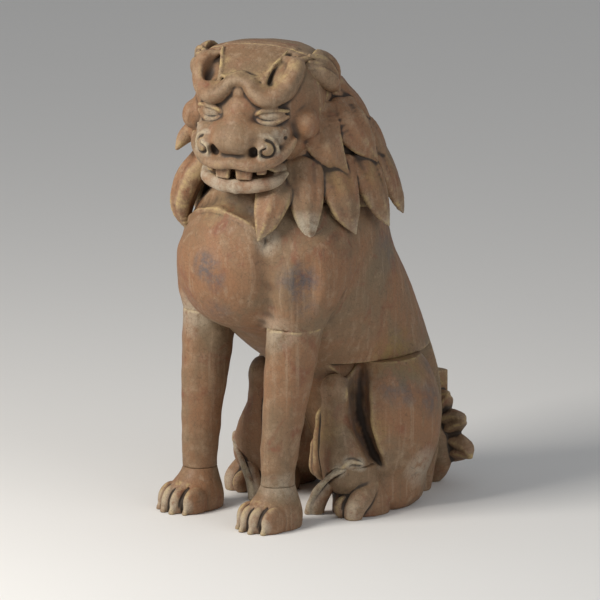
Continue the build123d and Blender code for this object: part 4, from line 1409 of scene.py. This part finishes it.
class LION_OT_hindpaws(CarvingStep):
    """Carve the hindpaws"""

    bl_idname = "lion.hindpaws"
    bl_label = "Carve Hindpaws"
    carve = carve_hindpaws


class LION_OT_head(CarvingStep):
    """Carve the face, the lower jaw and the crown"""

    bl_idname = "lion.head"
    bl_label = "Carve Head"
    carve = carve_head


class LION_OT_ears(CarvingStep):
    """Carve the ears"""

    bl_idname = "lion.ears"
    bl_label = "Carve Ears"
    carve = carve_ears


class LION_OT_mane(CarvingStep):
    """Carve the three boards of the mane"""

    bl_idname = "lion.mane"
    bl_label = "Carve Mane"
    carve = carve_mane


class LION_OT_tail(CarvingStep):
    """Carve the tail"""

    bl_idname = "lion.tail"
    bl_label = "Carve Tail"
    carve = carve_tail


class LION_OT_joinery(bpy.types.Operator):
    """Give the pegs and staples their wood and iron"""

    bl_idname = "lion.joinery"
    bl_label = "Finish Joinery"
    bl_options = {"REGISTER", "UNDO"}

    def execute(self, context):
        wood = peg_wood()
        iron = forged_iron()
        for name, node in frame["nodes"].items():
            if "peg" in name or name == "trunk_staples":
                node.data.materials.clear()
                node.data.materials.append(iron if name == "trunk_staples" else wood)
        return {"FINISHED"}


def area_light(name, place, aim, size, power, tint):
    """A soft square light that faces a point."""
    data = bpy.data.lights.new(name, "AREA")
    data.size = size
    data.energy = power
    data.color = tint
    light = bpy.data.objects.new(name, data)
    light.location = place
    light.rotation_euler = (Vector(aim) - Vector(place)).to_track_quat("-Z", "Y").to_euler()
    bpy.context.scene.collection.objects.link(light)


# Lights, in metres: name, place to the left, towards the camera and up from the aim, size and tint
LIGHTS = (
    ("key", (0.85, 0.55, 0.75), 0.5, (1, 0.96, 0.9)),
    ("fill", (-0.9, 0.9, 0.5), 1.0, (0.93, 0.96, 1)),
)
SKY_COLOUR = (0.9, 0.92, 0.95, 1)
FLOOR_HALF = 4
SENSOR_WIDTH = 36


class LION_OT_stage(bpy.types.Operator):
    """Lay the floor, set the lights and place the camera"""

    bl_idname = "lion.stage"
    bl_label = "Set Stage"
    bl_options = {"REGISTER", "UNDO"}

    def execute(self, context):
        scene = context.scene
        look = scene.lion_stage
        mesh = bpy.data.meshes.new("floor")
        corners = [(x * FLOOR_HALF, y * FLOOR_HALF, 0) for x, y in ((-1, -1), (1, -1), (1, 1), (-1, 1))]
        mesh.from_pydata(corners, [], [(0, 1, 2, 3)])
        mesh.materials.append(pale_floor())
        floor = bpy.data.objects.new("floor", mesh)
        scene.collection.objects.link(floor)
        aim = Vector(look.aim)
        ahead = Vector((math.sin(look.azimuth), -math.cos(look.azimuth), 0))
        left = Vector((-math.cos(look.azimuth), -math.sin(look.azimuth), 0))
        up = Vector((0, 0, 1))
        for name, (aside, forward, high), size, tint in LIGHTS:
            place = aim + left * aside + ahead * forward + up * high
            area_light(name, place, aim, size, getattr(look, name), tint)
        world = bpy.data.worlds.new("studio")
        world.use_nodes = True
        sky = world.node_tree.nodes["Background"]
        sky.inputs["Color"].default_value = SKY_COLOUR
        sky.inputs["Strength"].default_value = look.sky
        scene.world = world
        data = bpy.data.cameras.new("camera")
        data.lens = look.lens
        data.sensor_width = SENSOR_WIDTH
        camera = bpy.data.objects.new("camera", data)
        rise = math.cos(look.elevation) * ahead + math.sin(look.elevation) * up
        camera.location = aim + rise * look.distance
        camera.rotation_euler = (-rise).to_track_quat("-Z", "Y").to_euler()
        scene.collection.objects.link(camera)
        scene.camera = camera
        scene.view_settings.view_transform = "Standard"
        return {"FINISHED"}


STEPS = (
    LION_OT_trunk,
    LION_OT_forelegs,
    LION_OT_forepaws,
    LION_OT_haunches,
    LION_OT_hindpaws,
    LION_OT_head,
    LION_OT_ears,
    LION_OT_mane,
    LION_OT_tail,
    LION_OT_joinery,
    LION_OT_stage,
)


class LION_PT_panel(bpy.types.Panel):
    """The steps that carve the statue, in order"""

    bl_label = "Guardian Lion"
    bl_space_type = "VIEW_3D"
    bl_region_type = "UI"
    bl_category = "Lion"

    def draw(self, context):
        for step in STEPS:
            self.layout.operator(step.bl_idname)


CLASSES = (LionCarving, LionFinish, LionStage, *STEPS, LION_PT_panel)


def register():
    for item in CLASSES:
        bpy.utils.register_class(item)
    bpy.types.Scene.lion_carving = PointerProperty(type=LionCarving)
    bpy.types.Scene.lion_finish = PointerProperty(type=LionFinish)
    bpy.types.Scene.lion_stage = PointerProperty(type=LionStage)


def unregister():
    del bpy.types.Scene.lion_stage
    del bpy.types.Scene.lion_finish
    del bpy.types.Scene.lion_carving
    for item in reversed(CLASSES):
        bpy.utils.unregister_class(item)


def main():
    register()
    for step in STEPS:
        group, name = step.bl_idname.split(".")
        getattr(getattr(bpy.ops, group), name)()


if __name__ == "__main__":
    main()
